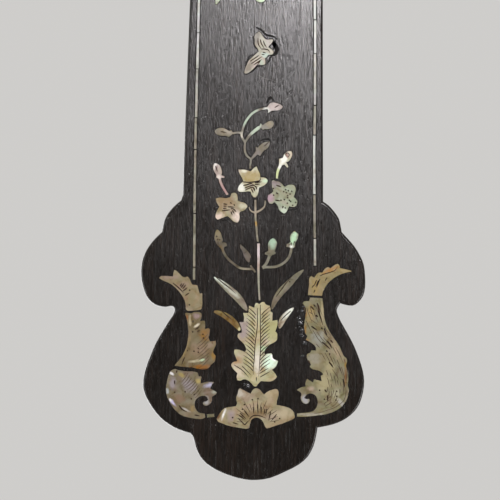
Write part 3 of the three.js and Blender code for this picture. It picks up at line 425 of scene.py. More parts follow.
def rounded_front(node, name, material, width, steps=4):
    """A copy of a CAD piece whose flat front is made again with a round edge all the way along.

    Shallow pockets keep their crisp rims; the outline and any deep slot are rounded.
    """
    shape = bmesh.new()
    shape.from_mesh(NODES[node].data)
    bmesh.ops.remove_doubles(shape, verts=shape.verts, dist=0.002 * MM)
    front = min(v.co.y for v in shape.verts)
    flat = {f for f in shape.faces if max(v.co.y for v in f.verts) < front + 0.01 * MM}
    loops = rim_loops(shape, flat)
    bmesh.ops.delete(shape, geom=list(flat), context="FACES_ONLY")
    normals, edges = {}, []
    for loop, depth in loops:
        inner = round_rim(shape, loop, width, steps, normals) if depth > 2.5 * MM else loop
        for i, vert in enumerate(inner):
            edges.append(shape.edges.get((vert, inner[(i + 1) % len(inner)]))
                         or shape.edges.new((vert, inner[(i + 1) % len(inner)])))
    filled = bmesh.ops.triangle_fill(shape, edges=edges, use_beauty=True, normal=(0, -1, 0))
    for face in filled["geom"]:
        if isinstance(face, bmesh.types.BMFace):
            for vert in face.verts:
                normals[(face, vert)] = (0.0, -1.0, 0.0)
    bmesh.ops.delete(shape, geom=[e for e in shape.edges if not e.link_faces], context="EDGES")
    bmesh.ops.delete(shape, geom=[v for v in shape.verts if not v.link_faces], context="VERTS")
    bmesh.ops.recalc_face_normals(shape, faces=shape.faces)
    shape.faces.index_update()
    shape.verts.index_update()
    chosen = {(face.index, vert.index): normal for (face, vert), normal in normals.items()}
    mesh = bpy.data.meshes.new(name)
    shape.to_mesh(mesh)
    shape.free()
    built = piece(name, mesh, material, replaces=(node,))
    smooth_shading(built, 40)
    custom = []
    for polygon in mesh.polygons:
        for corner in polygon.loop_indices:
            key = (polygon.index, mesh.loops[corner].vertex_index)
            custom.append(chosen.get(key, (0.0, 0.0, 0.0)))
    mesh.normals_split_custom_set(custom)
    return built


def smooth_path(points, per_span=5):
    """Catmull-Rom points through a list of points of any dimension."""
    points = [Vector(p) for p in points]
    padded = [2 * points[0] - points[1], *points, 2 * points[-1] - points[-2]]
    made = []
    for before, start, end, after in zip(padded, padded[1:], padded[2:], padded[3:]):
        for i in range(per_span):
            t = i / per_span
            made.append(0.5 * (2 * start + (end - before) * t
                               + (2 * before - 5 * start + 4 * end - after) * t * t
                               + (3 * start - before - 3 * end + after) * t ** 3))
    return made + [points[-1]]


def stroke(vertices, faces, path, width, proud, sunk, taper=True):
    """Adds a thin closed ribbon along a path of (u, v) on the head's face."""
    path = smooth_path(path, 4) if len(path) > 2 else smooth_path(path, 3)
    last = len(path) - 1
    start = len(vertices)
    for i, middle in enumerate(path):
        onward = path[min(i + 1, last)] - path[max(i - 1, 0)]
        side = Vector((-onward.y, onward.x)).normalized()
        share = i / last
        swell = 0.35 + 0.65 * math.sin(math.pi * min(1, share + 0.1)) ** 0.6 if taper else 1.0
        half = 0.5 * width * max(0.25, swell)
        for across, level in ((-half, proud), (half, proud), (half, -sunk), (-half, -sunk)):
            spot = middle + side * across
            vertices.append(on_head(spot.x, spot.y, level))
    for i in range(last):
        a = start + 4 * i
        for k in range(4):
            m = (k + 1) % 4
            faces.append((a + k, a + m, a + 4 + m, a + 4 + k))
    faces.append((start, start + 1, start + 2, start + 3))
    end = start + 4 * last
    faces.append((end + 3, end + 2, end + 1, end))


def dot(vertices, faces, centre, radius, proud, sunk, points=7, jitter=None):
    """Adds a small closed disc, round or ragged, on the head's face."""
    start = len(vertices)
    for level in (proud, -sunk):
        reach = [radius * (1 if jitter is None else jitter.uniform(0.6, 1.25)) for _ in range(points)]
        if level == proud:
            top = reach
        for k in range(points):
            angle = 2 * math.pi * k / points
            vertices.append(on_head(centre[0] + top[k] * math.cos(angle), centre[1] + top[k] * math.sin(angle), level))
    faces.append(tuple(start + k for k in range(points)))
    faces.append(tuple(start + points + k for k in reversed(range(points))))
    for k in range(points):
        m = (k + 1) % points
        faces.append((start + k, start + m, start + points + m, start + points + k))


# ---- camera, light, floor --------------------------------------------------------
PICTURE_CENTRE = (-1.2, 68.4)                # pattern millimetres at the middle of the picture
PICTURE_WIDTH = 150 * MM
CAMERA_DISTANCE = 0.62
SENSOR = 36.0


def add_camera():
    data = bpy.data.cameras.new("camera")
    data.sensor_width = SENSOR
    data.lens = SENSOR * CAMERA_DISTANCE / PICTURE_WIDTH
    camera = bpy.data.objects.new("camera", data)
    roll = math.pi - math.atan(PATTERN_LEAN)
    facing = Matrix.Rotation(roll, 4, "Y") @ Matrix.Rotation(math.radians(90), 4, "X")
    place = on_head(*PICTURE_CENTRE) - Vector((0, CAMERA_DISTANCE, 0))
    camera.matrix_world = Matrix.Translation(place) @ facing
    bpy.context.collection.objects.link(camera)
    bpy.context.scene.camera = camera


def add_light(name, place, target, size, energy, colour=(1, 1, 1)):
    data = bpy.data.lights.new(name, "AREA")
    data.shape = "RECTANGLE"
    data.size, data.size_y = size
    data.energy = energy
    data.color = colour
    lamp = bpy.data.objects.new(name, data)
    lamp.location = place
    lamp.rotation_euler = (Vector(target) - Vector(place)).to_track_quat("-Z", "Y").to_euler()
    bpy.context.collection.objects.link(lamp)
    return lamp


def studio_world():
    """A pale room that is dimmer in front of the instrument, where the viewer stands."""
    world = bpy.data.worlds.new("studio")
    world.use_nodes = True
    tree = world.node_tree
    background = tree.nodes["Background"]
    direction = tree.nodes.new("ShaderNodeTexCoord").outputs["Generated"]
    facing = tree.nodes.new("ShaderNodeVectorMath")
    facing.operation = "DOT_PRODUCT"
    tree.links.new(direction, facing.inputs[0])
    facing.inputs[1].default_value = (0, -1, 0)
    dimming = tree.nodes.new("ShaderNodeMapRange")
    dimming.interpolation_type = "SMOOTHSTEP"
    tree.links.new(facing.outputs["Value"], dimming.inputs["Value"])
    for key, value in (("From Min", 0.6), ("From Max", 0.96), ("To Min", 0.62), ("To Max", 0.1)):
        dimming.inputs[key].default_value = value
    tree.links.new(dimming.outputs["Result"], background.inputs["Strength"])
    background.inputs["Color"].default_value = (1.0, 0.985, 0.96, 1)
    bpy.context.scene.world = world


def add_surroundings():
    studio_world()
    bpy.ops.mesh.primitive_plane_add(size=14)
    floor = bpy.context.object
    floor.name = "floor"
    floor.data.materials.append(plain("pale_floor", (0.66, 0.65, 0.63), (0.68, 0.67, 0.65), (0.7, 0.8), 60.0,
                                      depth=0.0001))
    sheen_spot = Vector((-0.0125, FRONT_Y, HEAD_ZERO_Z - 0.12))
    sheen = add_light("sheen", sheen_spot + Vector((-0.12, -1.0, -0.225)), sheen_spot, (0.13, 0.13), 10.0,
                      (1.0, 0.968, 0.985))
    sheen.visible_diffuse = False
    head = (0, FRONT_Y, HEAD_ZERO_Z - 0.06)
    add_light("key", (-1.5, -1.05, 1.75), head, (1.0, 1.0), 25)
    add_light("fill", (1.7, -1.0, 1.0), (0, 0, 0.55), (1.4, 1.4), 20)
    add_light("rear", (0.9, 1.8, 1.5), (0, 0, 0.5), (1.6, 1.6), 34)
    bpy.context.scene.view_settings.view_transform = "Standard"


add_camera()
add_surroundings()

# ---- neck -----------------------------------------------------------------------
rounded_front("neck", "neck_rosewood", head_wood, 0.75 * MM)

# ---- pearl inlay ------------------------------------------------------------------
# Each look is (pale, tint, shade).
CREAM = ((0.39, 0.345, 0.25), (0.3, 0.25, 0.165), (0.225, 0.175, 0.105))
WHITE = ((0.66, 0.64, 0.56), (0.5, 0.46, 0.37), (0.34, 0.29, 0.2))
LEAF = ((0.46, 0.43, 0.32), (0.35, 0.31, 0.205), (0.25, 0.21, 0.12))
TAN = ((0.27, 0.23, 0.165), (0.21, 0.17, 0.11), (0.15, 0.115, 0.065))
OLIVE = ((0.31, 0.28, 0.19), (0.24, 0.21, 0.13), (0.175, 0.145, 0.08))
AMBER = ((0.29, 0.21, 0.1), (0.22, 0.15, 0.06), (0.12, 0.07, 0.025))
GREEN = ((0.42, 0.5, 0.38), (0.33, 0.36, 0.25), (0.24, 0.235, 0.15))
PINK = ((0.58, 0.48, 0.45), (0.43, 0.35, 0.31), (0.28, 0.21, 0.165))
GREY = ((0.23, 0.205, 0.165), (0.165, 0.14, 0.105), (0.1, 0.08, 0.055))
# The palest patch colour: a painted highlight, light flashing off the shell put into its colour.
PAINTED_HIGHLIGHT = (0.84, 0.85, 0.82)
LILAC = (0.48, 0.43, 0.6)
GREEN_WHITE = (0.6, 0.74, 0.62)
BROWN = (0.11, 0.05, 0.015)

# Each shell's look and its patches; the pale patches are painted highlights, the dark ones real stains.
SHELLS = {
    "butterfly": (WHITE, [
        (1.0, 132.2, 1.2, 3.4, 15, (0.25, 0.225, 0.17)), (-1.8, 122.9, 1.2, 2.8, 35, (0.24, 0.2, 0.13)),
        (3.5, 126.9, 1.5, 0.9, 20, GREEN_WHITE), (2.2, 124.6, 0.8, 1.6, 0, (0.5, 0.58, 0.44))]),
    "upper_spray": (GREY, [
        (-1.2, 108.4, 1.0, 4.2, 40, (0.46, 0.56, 0.46)), (6.2, 111.4, 2.8, 1.8, 0, (0.5, 0.41, 0.4)),
        (3.6, 110.4, 1.2, 1.0, 0, PAINTED_HIGHLIGHT), (0.8, 105.0, 1.0, 2.6, 40, (0.52, 0.62, 0.5)),
        (2.6, 99.2, 2.0, 1.6, 0, (0.14, 0.11, 0.055)), (-8.4, 104, 3.0, 1.6, 0, (0.24, 0.195, 0.125)),
        (-3.4, 102.9, 1.8, 1.0, 0, (0.6, 0.56, 0.48)), (4.6, 106.4, 1.4, 1.0, 30, (0.27, 0.22, 0.13))]),
    "flower_centre": (WHITE, [
        (-0.8, 90.3, 3.4, 2.0, 0, (0.36, 0.28, 0.115)), (3.8, 89.2, 1.6, 0.9, 0, (0.58, 0.72, 0.56)),
        (-2.9, 92.2, 0.9, 0.7, 0, (0.74, 0.72, 0.6)), (-4.1, 87, 1.5, 1.4, 0, PAINTED_HIGHLIGHT), (1.9, 86.3, 1.0, 1.2, 0, PAINTED_HIGHLIGHT),
        (2.0, 91.8, 0.9, 1.0, 0, (0.44, 0.38, 0.2))]),
    "flower_left": (CREAM, [
        (-8.6, 82.6, 3.6, 2.2, 0, (0.27, 0.195, 0.11)), (-5.2, 78.4, 1.4, 2.0, -20, (0.72, 0.62, 0.57)),
        (-10.6, 78.3, 1.8, 1.4, 20, (0.66, 0.54, 0.48)), (-3, 81.5, 1.7, 1.0, 0, (0.5, 0.48, 0.37))]),
    "flower_right": (GREEN, [
        (4.7, 84, 1.5, 1.7, 0, (0.48, 0.35, 0.4)), (6.3, 88.4, 1.9, 1.5, 0, (0.25, 0.21, 0.2)),
        (8.9, 80.2, 1.5, 1.4, 0, (0.6, 0.72, 0.56)), (12.2, 83.2, 1.0, 1.6, 0, (0.3, 0.38, 0.24))]),
    "bud_left": (PINK, [(-11.4, 93.8, 0.9, 1.8, 0, PAINTED_HIGHLIGHT), (-11.2, 92.9, 0.5, 1.3, 12, (0.2, 0.12, 0.11)), (-10.6, 90.2, 1.2, 0.8, 0, (0.74, 0.7, 0.64)),
                        (-9.2, 87, 1.0, 2.4, -25, (0.42, 0.27, 0.26))]),
    "bud_right": (WHITE, [(8.8, 95.4, 1.0, 2.4, 25, PAINTED_HIGHLIGHT), (6.9, 91.6, 0.8, 2.4, 15, (0.55, 0.62, 0.34)),
                          (7.6, 93.6, 1.6, 0.8, 30, PAINTED_HIGHLIGHT), (9.9, 97, 0.4, 1.2, -25, (0.34, 0.22, 0.18))]),
    "stem_upper": (GREY, [(0.5, 76.3, 0.9, 0.8, 0, (0.3, 0.19, 0.06)), (0.6, 80, 4, 1.6, 0, (0.26, 0.22, 0.165))]),
    "stem_lower": (PINK, [(1.35, 67.5, 0.8, 3.2, 0, (0.66, 0.58, 0.6)), (1.5, 58.5, 0.8, 5, 0, (0.3, 0.3, 0.23))]),
    "spray_left": (GREY, [(-11, 73.2, 1.5, 2.6, 0, (0.33, 0.285, 0.18)), (-10, 68.5, 1.3, 1.4, 0, (0.2, 0.15, 0.07)),
                          (-3.6, 62.6, 2.6, 0.9, 0, (0.42, 0.4, 0.35))]),
    "leaf_bud": (GREY, [(-3.4, 67.2, 1.0, 1.6, -30, (0.2, 0.17, 0.17))]),
    "spray_right": (GREY, [(5.4, 71.2, 1.3, 2.4, 0, (0.36, 0.5, 0.38)), (11.9, 72.2, 1.0, 3.0, 15, (0.5, 0.7, 0.5)),
                           (12.2, 74.4, 0.6, 0.5, 0, (0.4, 0.22, 0.08)), (11.2, 69.6, 0.7, 0.7, 0, PAINTED_HIGHLIGHT)]),
    "leaf_upper_left": (GREY, [(-10.6, 59.6, 0.8, 3.6, 130, (0.5, 0.52, 0.45)), (-6.3, 55.5, 0.7, 2.4, 130, (0.36, 0.34, 0.28))]),
    "leaf_upper_right": (GREY, [(8.2, 56.5, 0.9, 3.2, 40, (0.24, 0.22, 0.155))]),
    "leaf_lower_left": (AMBER, [(-9.6, 50.1, 2.4, 0.9, 25, (0.3, 0.26, 0.13)), (-4.3, 44.5, 0.7, 0.8, 0, PAINTED_HIGHLIGHT)]),
    "leaf_lower_right": (PINK, [(10.3, 49.6, 0.9, 2.6, 40, PAINTED_HIGHLIGHT), (7.6, 46, 0.7, 1.6, 30, (0.2, 0.14, 0.09))]),
    "centre_leaf": (LEAF, [
        (4.8, 34.9, 2.4, 2.8, 0, (0.6, 0.74, 0.62)), (6.2, 36.4, 1.2, 1.2, 0, PAINTED_HIGHLIGHT), (1.1, 35, 1.2, 4.2, 0, (0.56, 0.53, 0.46)),
        (5.4, 44.5, 2.4, 4.2, 0, (0.31, 0.3, 0.15)), (-3.2, 44.5, 2.0, 3.6, 0, (0.27, 0.225, 0.21)),
        (-4.7, 31.5, 2.0, 1.6, 0, (0.47, 0.42, 0.32)), (3.2, 38.8, 1.6, 0.9, 0, (0.36, 0.46, 0.3)),
        (-4.9, 35.2, 1.4, 1.2, 0, (0.3, 0.2, 0.11))]),
    "palmette": (CREAM, [
        (-9.2, 18.9, 0.42, 2.1, 20, PAINTED_HIGHLIGHT), (-4.2, 25.4, 1.8, 1.1, 30, (0.46, 0.43, 0.36)),
        (-10.9, 18.5, 1.0, 1.2, 0, BROWN), (-6.8, 18.8, 1.3, 2.0, 0, (0.31, 0.26, 0.25)),
        (8.6, 19.4, 3.2, 1.6, 0, (0.41, 0.36, 0.245)), (4.4, 25.6, 1.6, 1.2, 0, (0.4, 0.34, 0.22)),
        (0.7, 19.2, 4.4, 1.2, 0, (0.21, 0.155, 0.085))]),
    "acanthus_left_top": (CREAM, [
        (-18.8, 54, 1.4, 3.0, 0, (0.27, 0.245, 0.14)), (-25.2, 60, 3.0, 0.8, 0, (0.33, 0.27, 0.22)),
        (-21.4, 57.6, 2.0, 1.4, -30, (0.33, 0.26, 0.2))]),
    "acanthus_left_middle": (TAN, [
        (-20.1, 48.1, 0.5, 1.0, 0, (0.26, 0.12, 0.03)), (-14.8, 42.6, 1.9, 2.2, 0, (0.3, 0.19, 0.08)),
        (-17.2, 45.6, 1.0, 0.4, -32, PAINTED_HIGHLIGHT), (-19.2, 47.2, 0.45, 1.9, 0, (0.55, 0.52, 0.42)),
        (-17.2, 48.5, 1.3, 0.9, 0, (0.38, 0.31, 0.36)), (-15.9, 33.2, 3.2, 0.8, -6, (0.3, 0.14, 0.03)),
        (-18, 34.9, 1.9, 0.45, -8, (0.62, 0.62, 0.52)), (-15.4, 35.3, 0.8, 0.5, -12, (0.6, 0.82, 0.66)),
        (-16.4, 38.4, 2.6, 2.2, 0, (0.3, 0.235, 0.18)), (-12.1, 36.9, 0.7, 1.5, 0, (0.33, 0.22, 0.08)),
        (-20.4, 39, 0.6, 3.4, 20, (0.32, 0.27, 0.16)), (-13.4, 39.8, 1.3, 0.9, 0, (0.32, 0.265, 0.22)),
        (-15.6, 32.4, 3.4, 0.3, -6, (0.12, 0.05, 0.012)), (-11.4, 35.4, 0.35, 1.5, 10, (0.15, 0.065, 0.015)),
        (-12.6, 40.8, 0.3, 0.8, -20, (0.14, 0.06, 0.015))]),
    "acanthus_left_scroll": (TAN, [
        (-24.3, 22.4, 1.8, 0.5, 50, (0.62, 0.6, 0.78)), (-25.1, 23.3, 0.6, 0.35, 50, PAINTED_HIGHLIGHT),
        (-24.6, 31.1, 0.75, 0.4, 30, PAINTED_HIGHLIGHT), (-25.9, 25.9, 0.45, 0.9, 0, (0.42, 0.46, 0.44)),
        (-13.6, 27.7, 1.7, 0.7, -20, (0.5, 0.5, 0.62)), (-22.4, 23.6, 1.8, 1.4, 35, (0.22, 0.15, 0.09)),
        (-21.8, 30.8, 1.4, 0.7, 40, (0.34, 0.28, 0.11)), (-24.4, 28.2, 1.1, 2.0, 0, (0.3, 0.27, 0.27)),
        (-19.6, 27.6, 2.6, 1.8, 40, (0.3, 0.27, 0.26)), (-14.3, 22.9, 1.0, 1.6, 0, (0.42, 0.42, 0.4)),
        (-20.4, 20.3, 1.6, 0.4, 25, (0.5, 0.48, 0.42)), (-16.7, 28.9, 0.8, 0.9, 0, (0.42, 0.34, 0.13)),
        (-12, 25.7, 0.9, 0.6, 0, (0.36, 0.38, 0.3)), (-18.5, 20.8, 1.0, 1.2, 0, (0.3, 0.23, 0.11))]),
    "scroll_tail_left": (CREAM, []),
    "acanthus_right_top": (CREAM, [
        (23.0, 62.6, 3.2, 0.8, -20, (0.36, 0.2, 0.055)), (18.6, 57.6, 1.6, 2.8, 0, (0.36, 0.29, 0.155)),
        (26.6, 62.6, 2.4, 0.7, 0, (0.38, 0.33, 0.22)), (19.6, 55.2, 0.8, 2.0, 0, (0.3, 0.25, 0.16))]),
    "acanthus_right_scroll": (OLIVE, [
        (17, 49.6, 1.4, 3.0, 0, (0.37, 0.28, 0.13)), (19.2, 42, 2.4, 2.4, 0, (0.31, 0.32, 0.29)),
        (27.5, 30.6, 0.5, 3.2, 0, (0.2, 0.09, 0.02)), (27.4, 34.2, 0.4, 1.2, 0, (0.3, 0.19, 0.05)),
        (15.3, 23.8, 1.1, 1.4, 0, (0.42, 0.42, 0.46)), (21, 28.5, 2.4, 3.0, 0, (0.42, 0.38, 0.24)),
        (17.4, 19.2, 4.6, 0.5, 0, (0.46, 0.44, 0.38)), (26.0, 22.8, 3.0, 0.7, 55, (0.44, 0.43, 0.4)),
        (24.8, 38.5, 1.3, 3.2, -25, (0.4, 0.32, 0.21)), (18.2, 36, 2.4, 1.6, 0, (0.33, 0.31, 0.25)),
        (15.4, 44.8, 0.4, 1.6, 0, (0.3, 0.17, 0.05)), (15.6, 49.2, 0.4, 1.0, 0, (0.28, 0.15, 0.04)),
        (15.9, 41.6, 0.7, 0.4, 0, (0.34, 0.22, 0.1)), (20.4, 50, 0.5, 3.4, 0, (0.42, 0.36, 0.22)),
        (22.6, 33.4, 1.6, 2.4, -20, (0.4, 0.36, 0.22)), (24.4, 25, 1.6, 2.0, 0, (0.4, 0.38, 0.27)),
        (17.2, 27, 1.2, 0.8, 0, (0.44, 0.35, 0.28)), (27.8, 30.4, 0.25, 2.6, 0, (0.09, 0.04, 0.012)),
        (27.2, 35.4, 0.25, 0.8, -15, (0.12, 0.05, 0.015))]),
    "upper_leaves": (GREEN, [(2.2, 144.6, 1.2, 2.6, 0, (0.5, 0.62, 0.42)), (-9.8, 145, 1.6, 2.4, 0, (0.45, 0.52, 0.38))]),
}

# How much darker or warmer each piece is than its look.
TONES = {
    "acanthus_left_middle": (0.73, 0.64, 0.52), "acanthus_left_scroll": (0.84, 0.8, 0.83),
    "acanthus_left_top": (0.8, 0.72, 0.66), "acanthus_right_scroll": (0.8, 0.77, 0.72),
    "acanthus_right_top": (0.8, 0.71, 0.5), "bud_left": (0.86, 0.79, 0.78), "bud_right": (0.97, 0.94, 0.89),
    "butterfly": (0.69, 0.66, 0.67), "centre_leaf": (1.22, 1.18, 1.18), "flower_centre": (0.94, 0.92, 0.86),
    "flower_left": (1.0, 0.97, 0.92), "flower_right": (0.81, 0.75, 0.76), "leaf_bud": (0.43, 0.37, 0.32),
    "leaf_lower_left": (0.7, 0.62, 0.38), "leaf_lower_right": (0.9, 0.91, 0.85),
    "leaf_upper_left": (1.27, 1.32, 1.34), "leaf_upper_right": (0.76, 0.74, 0.62), "palmette": (1.0, 0.95, 0.95),
    "scroll_tail_left": (0.5, 0.55, 0.54), "spray_left": (0.52, 0.47, 0.36), "spray_right": (0.9, 0.91, 0.85),
    "stem_lower": (0.9, 0.87, 0.86), "stem_upper": (1.2, 1.17, 1.18), "upper_spray": (0.81, 0.8, 0.77),
}

PEARL_PROUD = 0.03
PEARL_THICKNESS = 0.8 * MM
PEARL_BEVEL = 0.06 * MM
SHARP_TURN = math.radians(48)


def tidy_loop(loop, shortest=0.12 * MM):
    """Drops points that crowd their neighbour."""
    kept = [loop[0]]
    for point in loop[1:]:
        if math.dist(point, kept[-1]) > shortest:
            kept.append(point)
    if math.dist(kept[0], kept[-1]) < shortest:
        kept.pop()
    return kept


def close_set(loop, longest):
    """The same closed outline with its long spans divided."""
    made = []
    for (x0, z0), (x1, z1) in zip(loop, loop[1:] + loop[:1]):
        parts = max(1, math.ceil(math.dist((x0, z0), (x1, z1)) / longest))
        made += [(x0 + (x1 - x0) * k / parts, z0 + (z1 - z0) * k / parts) for k in range(parts)]
    return made


def bedding(motif, loops, seed):
    """The dark mastic that shows round a pearl piece: a band of uneven width along its outline."""
    dice = random.Random(seed)
    front, back = FRONT_Y - 0.012 * MM, FRONT_Y + 0.15 * MM
    vertices, faces = [], []
    for loop in loops:
        path = close_set(loop, 0.8 * MM)
        count, start = len(path), len(vertices)
        area = sum(x0 * z1 - x1 * z0 for (x0, z0), (x1, z1) in zip(path, path[1:] + path[:1]))
        for i, (x, z) in enumerate(path):
            before, after = path[i - 1], path[(i + 1) % count]
            outward = Vector((after[1] - before[1], before[0] - after[0])).normalized() * math.copysign(1, area)
            outer, inner = dice.uniform(0.08, 0.32) * MM, -0.22 * MM
            for reach, y in ((outer, front), (outer, back), (inner, back), (inner, front)):
                vertices.append((x + outward.x * reach, y, z + outward.y * reach))
        for i in range(count):
            a, b = start + 4 * i, start + 4 * ((i + 1) % count)
            for k in range(4):
                faces.append((a + k, a + (k + 1) % 4, b + (k + 1) % 4, b + k))
    piece(f"{motif}_mastic", mesh_from(f"{motif}_mastic", vertices, faces), mastic)


def flatten_front(mesh):
    """Shades the level front of a plate flat, so only its round edge bends the light."""
    front = min(v.co.y for v in mesh.vertices) + 0.001 * MM
    for polygon in mesh.polygons:
        if all(mesh.vertices[v].co.y < front for v in polygon.vertices):
            polygon.use_smooth = False


def inlay_piece(motif, seed):
    node = f"pearl_{motif}"
    colours, highlights_and_stains = SHELLS[motif]
    loops = [tidy_loop(loop) for loop in front_loops(node)]
    mesh = flat_curve(node, loops, SHARP_TURN, 3, PEARL_THICKNESS, PEARL_BEVEL, -PEARL_BEVEL)
    mesh.transform(Matrix.Translation((0, FRONT_Y - PEARL_PROUD * MM + PEARL_THICKNESS / 2, 0)))
    material = pearl(node, *colours, highlights_and_stains=highlights_and_stains, shift=0.7 * seed, tone=TONES.get(motif, (1, 1, 1)))
    shell = piece(f"{motif}_shell", mesh, material, replaces=(node,))
    smooth_shading(shell, 30)
    flatten_front(mesh)
    bedding(motif, loops, seed)


for seed, motif in enumerate(SHELLS):
    inlay_piece(motif, seed)

# ---- border lines: short strips of shell laid end to end ---------------------------
STRIP_WHITE = pearl("strip_white", (0.76, 0.77, 0.79), (0.58, 0.57, 0.55), (0.36, 0.32, 0.27), shift=31.0, drift=0.45, tone=(0.82, 0.82, 0.83))
STRIP_TAN = pearl("strip_tan", (0.34, 0.31, 0.25), (0.22, 0.19, 0.14), (0.12, 0.1, 0.07), shift=33.0, drift=0.5, tone=(0.86, 0.88, 0.9))
STRIP_GREY = pearl("strip_grey", (0.5, 0.5, 0.48), (0.36, 0.34, 0.3), (0.2, 0.17, 0.13), shift=35.0, drift=0.5, tone=(0.85, 0.86, 0.88))
STRIP_LOOKS = {"w": STRIP_WHITE, "t": STRIP_TAN, "g": STRIP_GREY}
# Where each border's pieces meet, from its lower end, and the look of each piece.
BORDERS = {
    "border_left": ([59.2, 63.1, 79.2, 98.5, 108, 122.6, 133.5, 146, 161, 178, 190, 206, 221, 233, 250, 263, 279.8],
                    "ttttgwwgwwgwtwgw"),
    "border_right": ([63.8, 72, 85.2, 103, 112, 127.5, 137.6, 151, 166, 180, 197, 209, 226, 240, 254, 266, 279.8],
                     "gtwtgwwgwwgwwtgw"),
}
STRIP_WIDTH = 0.74


def strip_middle(loop, v):
    """Where the middle of a long upright outline lies across the head, at height v."""
    z = on_head(0, v).z
    crossings = []
    for (x0, z0), (x1, z1) in zip(loop, loop[1:] + loop[:1]):
        if (z0 - z) * (z1 - z) <= 0 and z0 != z1:
            crossings.append(x0 + (x1 - x0) * (z - z0) / (z1 - z0))
    x = (min(crossings) + max(crossings)) / 2
    return -x / MM + PATTERN_LEAN * (v - PATTERN_PIVOT)


def border(motif, seed):
    dice = random.Random(seed)
    loop = front_loops(f"pearl_{motif}")[0]
    joints, looks = BORDERS[motif]
    for i, (low, high) in enumerate(zip(joints, joints[1:])):
        count = max(3, round((high - low) / 4))
        gap = dice.uniform(0.08, 0.2)
        levels = [low + gap + (high - low - 2 * gap) * k / count for k in range(count + 1)]
        lean = dice.uniform(-0.05, 0.05)
        outline = []
        for side in (-1, 1):
            edge = []
            for v in levels:
                half = 0.5 * STRIP_WIDTH * dice.uniform(0.9, 1.06)
                spot = on_head(strip_middle(loop, v) + side * half + lean, v)
                edge.append((spot.x, spot.z))
            outline += edge if side < 0 else edge[::-1]
        mesh = flat_curve(f"{motif}_{i}", [outline], math.radians(30), 2, PEARL_THICKNESS, 0.05 * MM, -0.05 * MM)
        mesh.transform(Matrix.Translation((0, FRONT_Y - PEARL_PROUD * MM + PEARL_THICKNESS / 2, 0)))
        target = piece(f"{motif}_{i + 1:02d}", mesh, STRIP_LOOKS[looks[i]],
                       replaces=(f"pearl_{motif}",))
        smooth_shading(target, 30)
        flatten_front(mesh)
    bedding(motif, [tidy_loop(loop)], seed)


border("border_left", 71)
border("border_right", 72)

# ---- engraving: lines cut into the shell and filled with dark lacquer --------------
VEIN_ROWS = [33 + 1.12 * k for k in range(16)]


def midrib(v):
    """Left and right edges of the centre leaf's midrib."""
    climb = (v - 30) / 21
    return -0.1 + 1.1 * climb, 1.4 + 0.5 * climb


def leaf_veins():
    veins = []
    for v in VEIN_ROWS:
        left, right = midrib(v)
        reach = 3.0 if v > 35.5 else 3.3
        veins.append([(left - 0.35, v - 0.9), (left - 1.3, v + 0.2), (left - reach, v + 1.6)])
        veins.append([(right + 0.35, v - 0.9), (right + 1.3, v + 0.2), (right + reach, v + 1.6)])
    return veins


def hatch(start, end, rows, step, jitter):
    """Parallel short strokes: start and end of the first one, then moved by step each row."""
    dice = random.Random(jitter)
    strokes = []
    for k in range(rows):
        slide = Vector(step) * k
        nudge = Vector((dice.uniform(-0.25, 0.25), dice.uniform(-0.25, 0.25)))
        a = Vector(start) + slide + nudge
        b = Vector(end) + slide - nudge
        strokes.append([tuple(a), tuple((a + b) / 2 + Vector((0.1, -0.15))), tuple(b)])
    return strokes


def flow_dashes(spine, offsets, step, jitter):
    """Broken lines that run along a spine and drift towards it, in rows at each offset."""
    dice = random.Random(jitter)
    curve = smooth_path(spine, 12)
    dashes = []
    for offset in offsets:
        place = dice.randint(0, step)
        while place < len(curve) - 8:
            length = dice.randint(5, 15)
            dash = []
            for k in range(0, length + 1, max(1, length // 3)):
                i = min(len(curve) - 2, place + k)
                onward = (curve[i + 1] - curve[i]).normalized()
                inward = Vector((onward.y, -onward.x))
                dash.append(tuple(curve[i] + inward * (offset - 0.05 * k)))
            dashes.append(dash)
            place += length + dice.randint(2, step)
    return dashes


def rays(centre, inner, outer, angles, jitter):
    """Fine strokes that fan out from a centre, of uneven length."""
    dice = random.Random(jitter)
    strokes = []
    for degrees in angles:
        angle = math.radians(degrees + dice.uniform(-2, 2))
        along = Vector((math.cos(angle), math.sin(angle)))
        start, end = inner + dice.uniform(0, 0.7), outer + dice.uniform(-1.2, 0.8)
        strokes.append([tuple(Vector(centre) + along * start), tuple(Vector(centre) + along * end)])
    return strokes


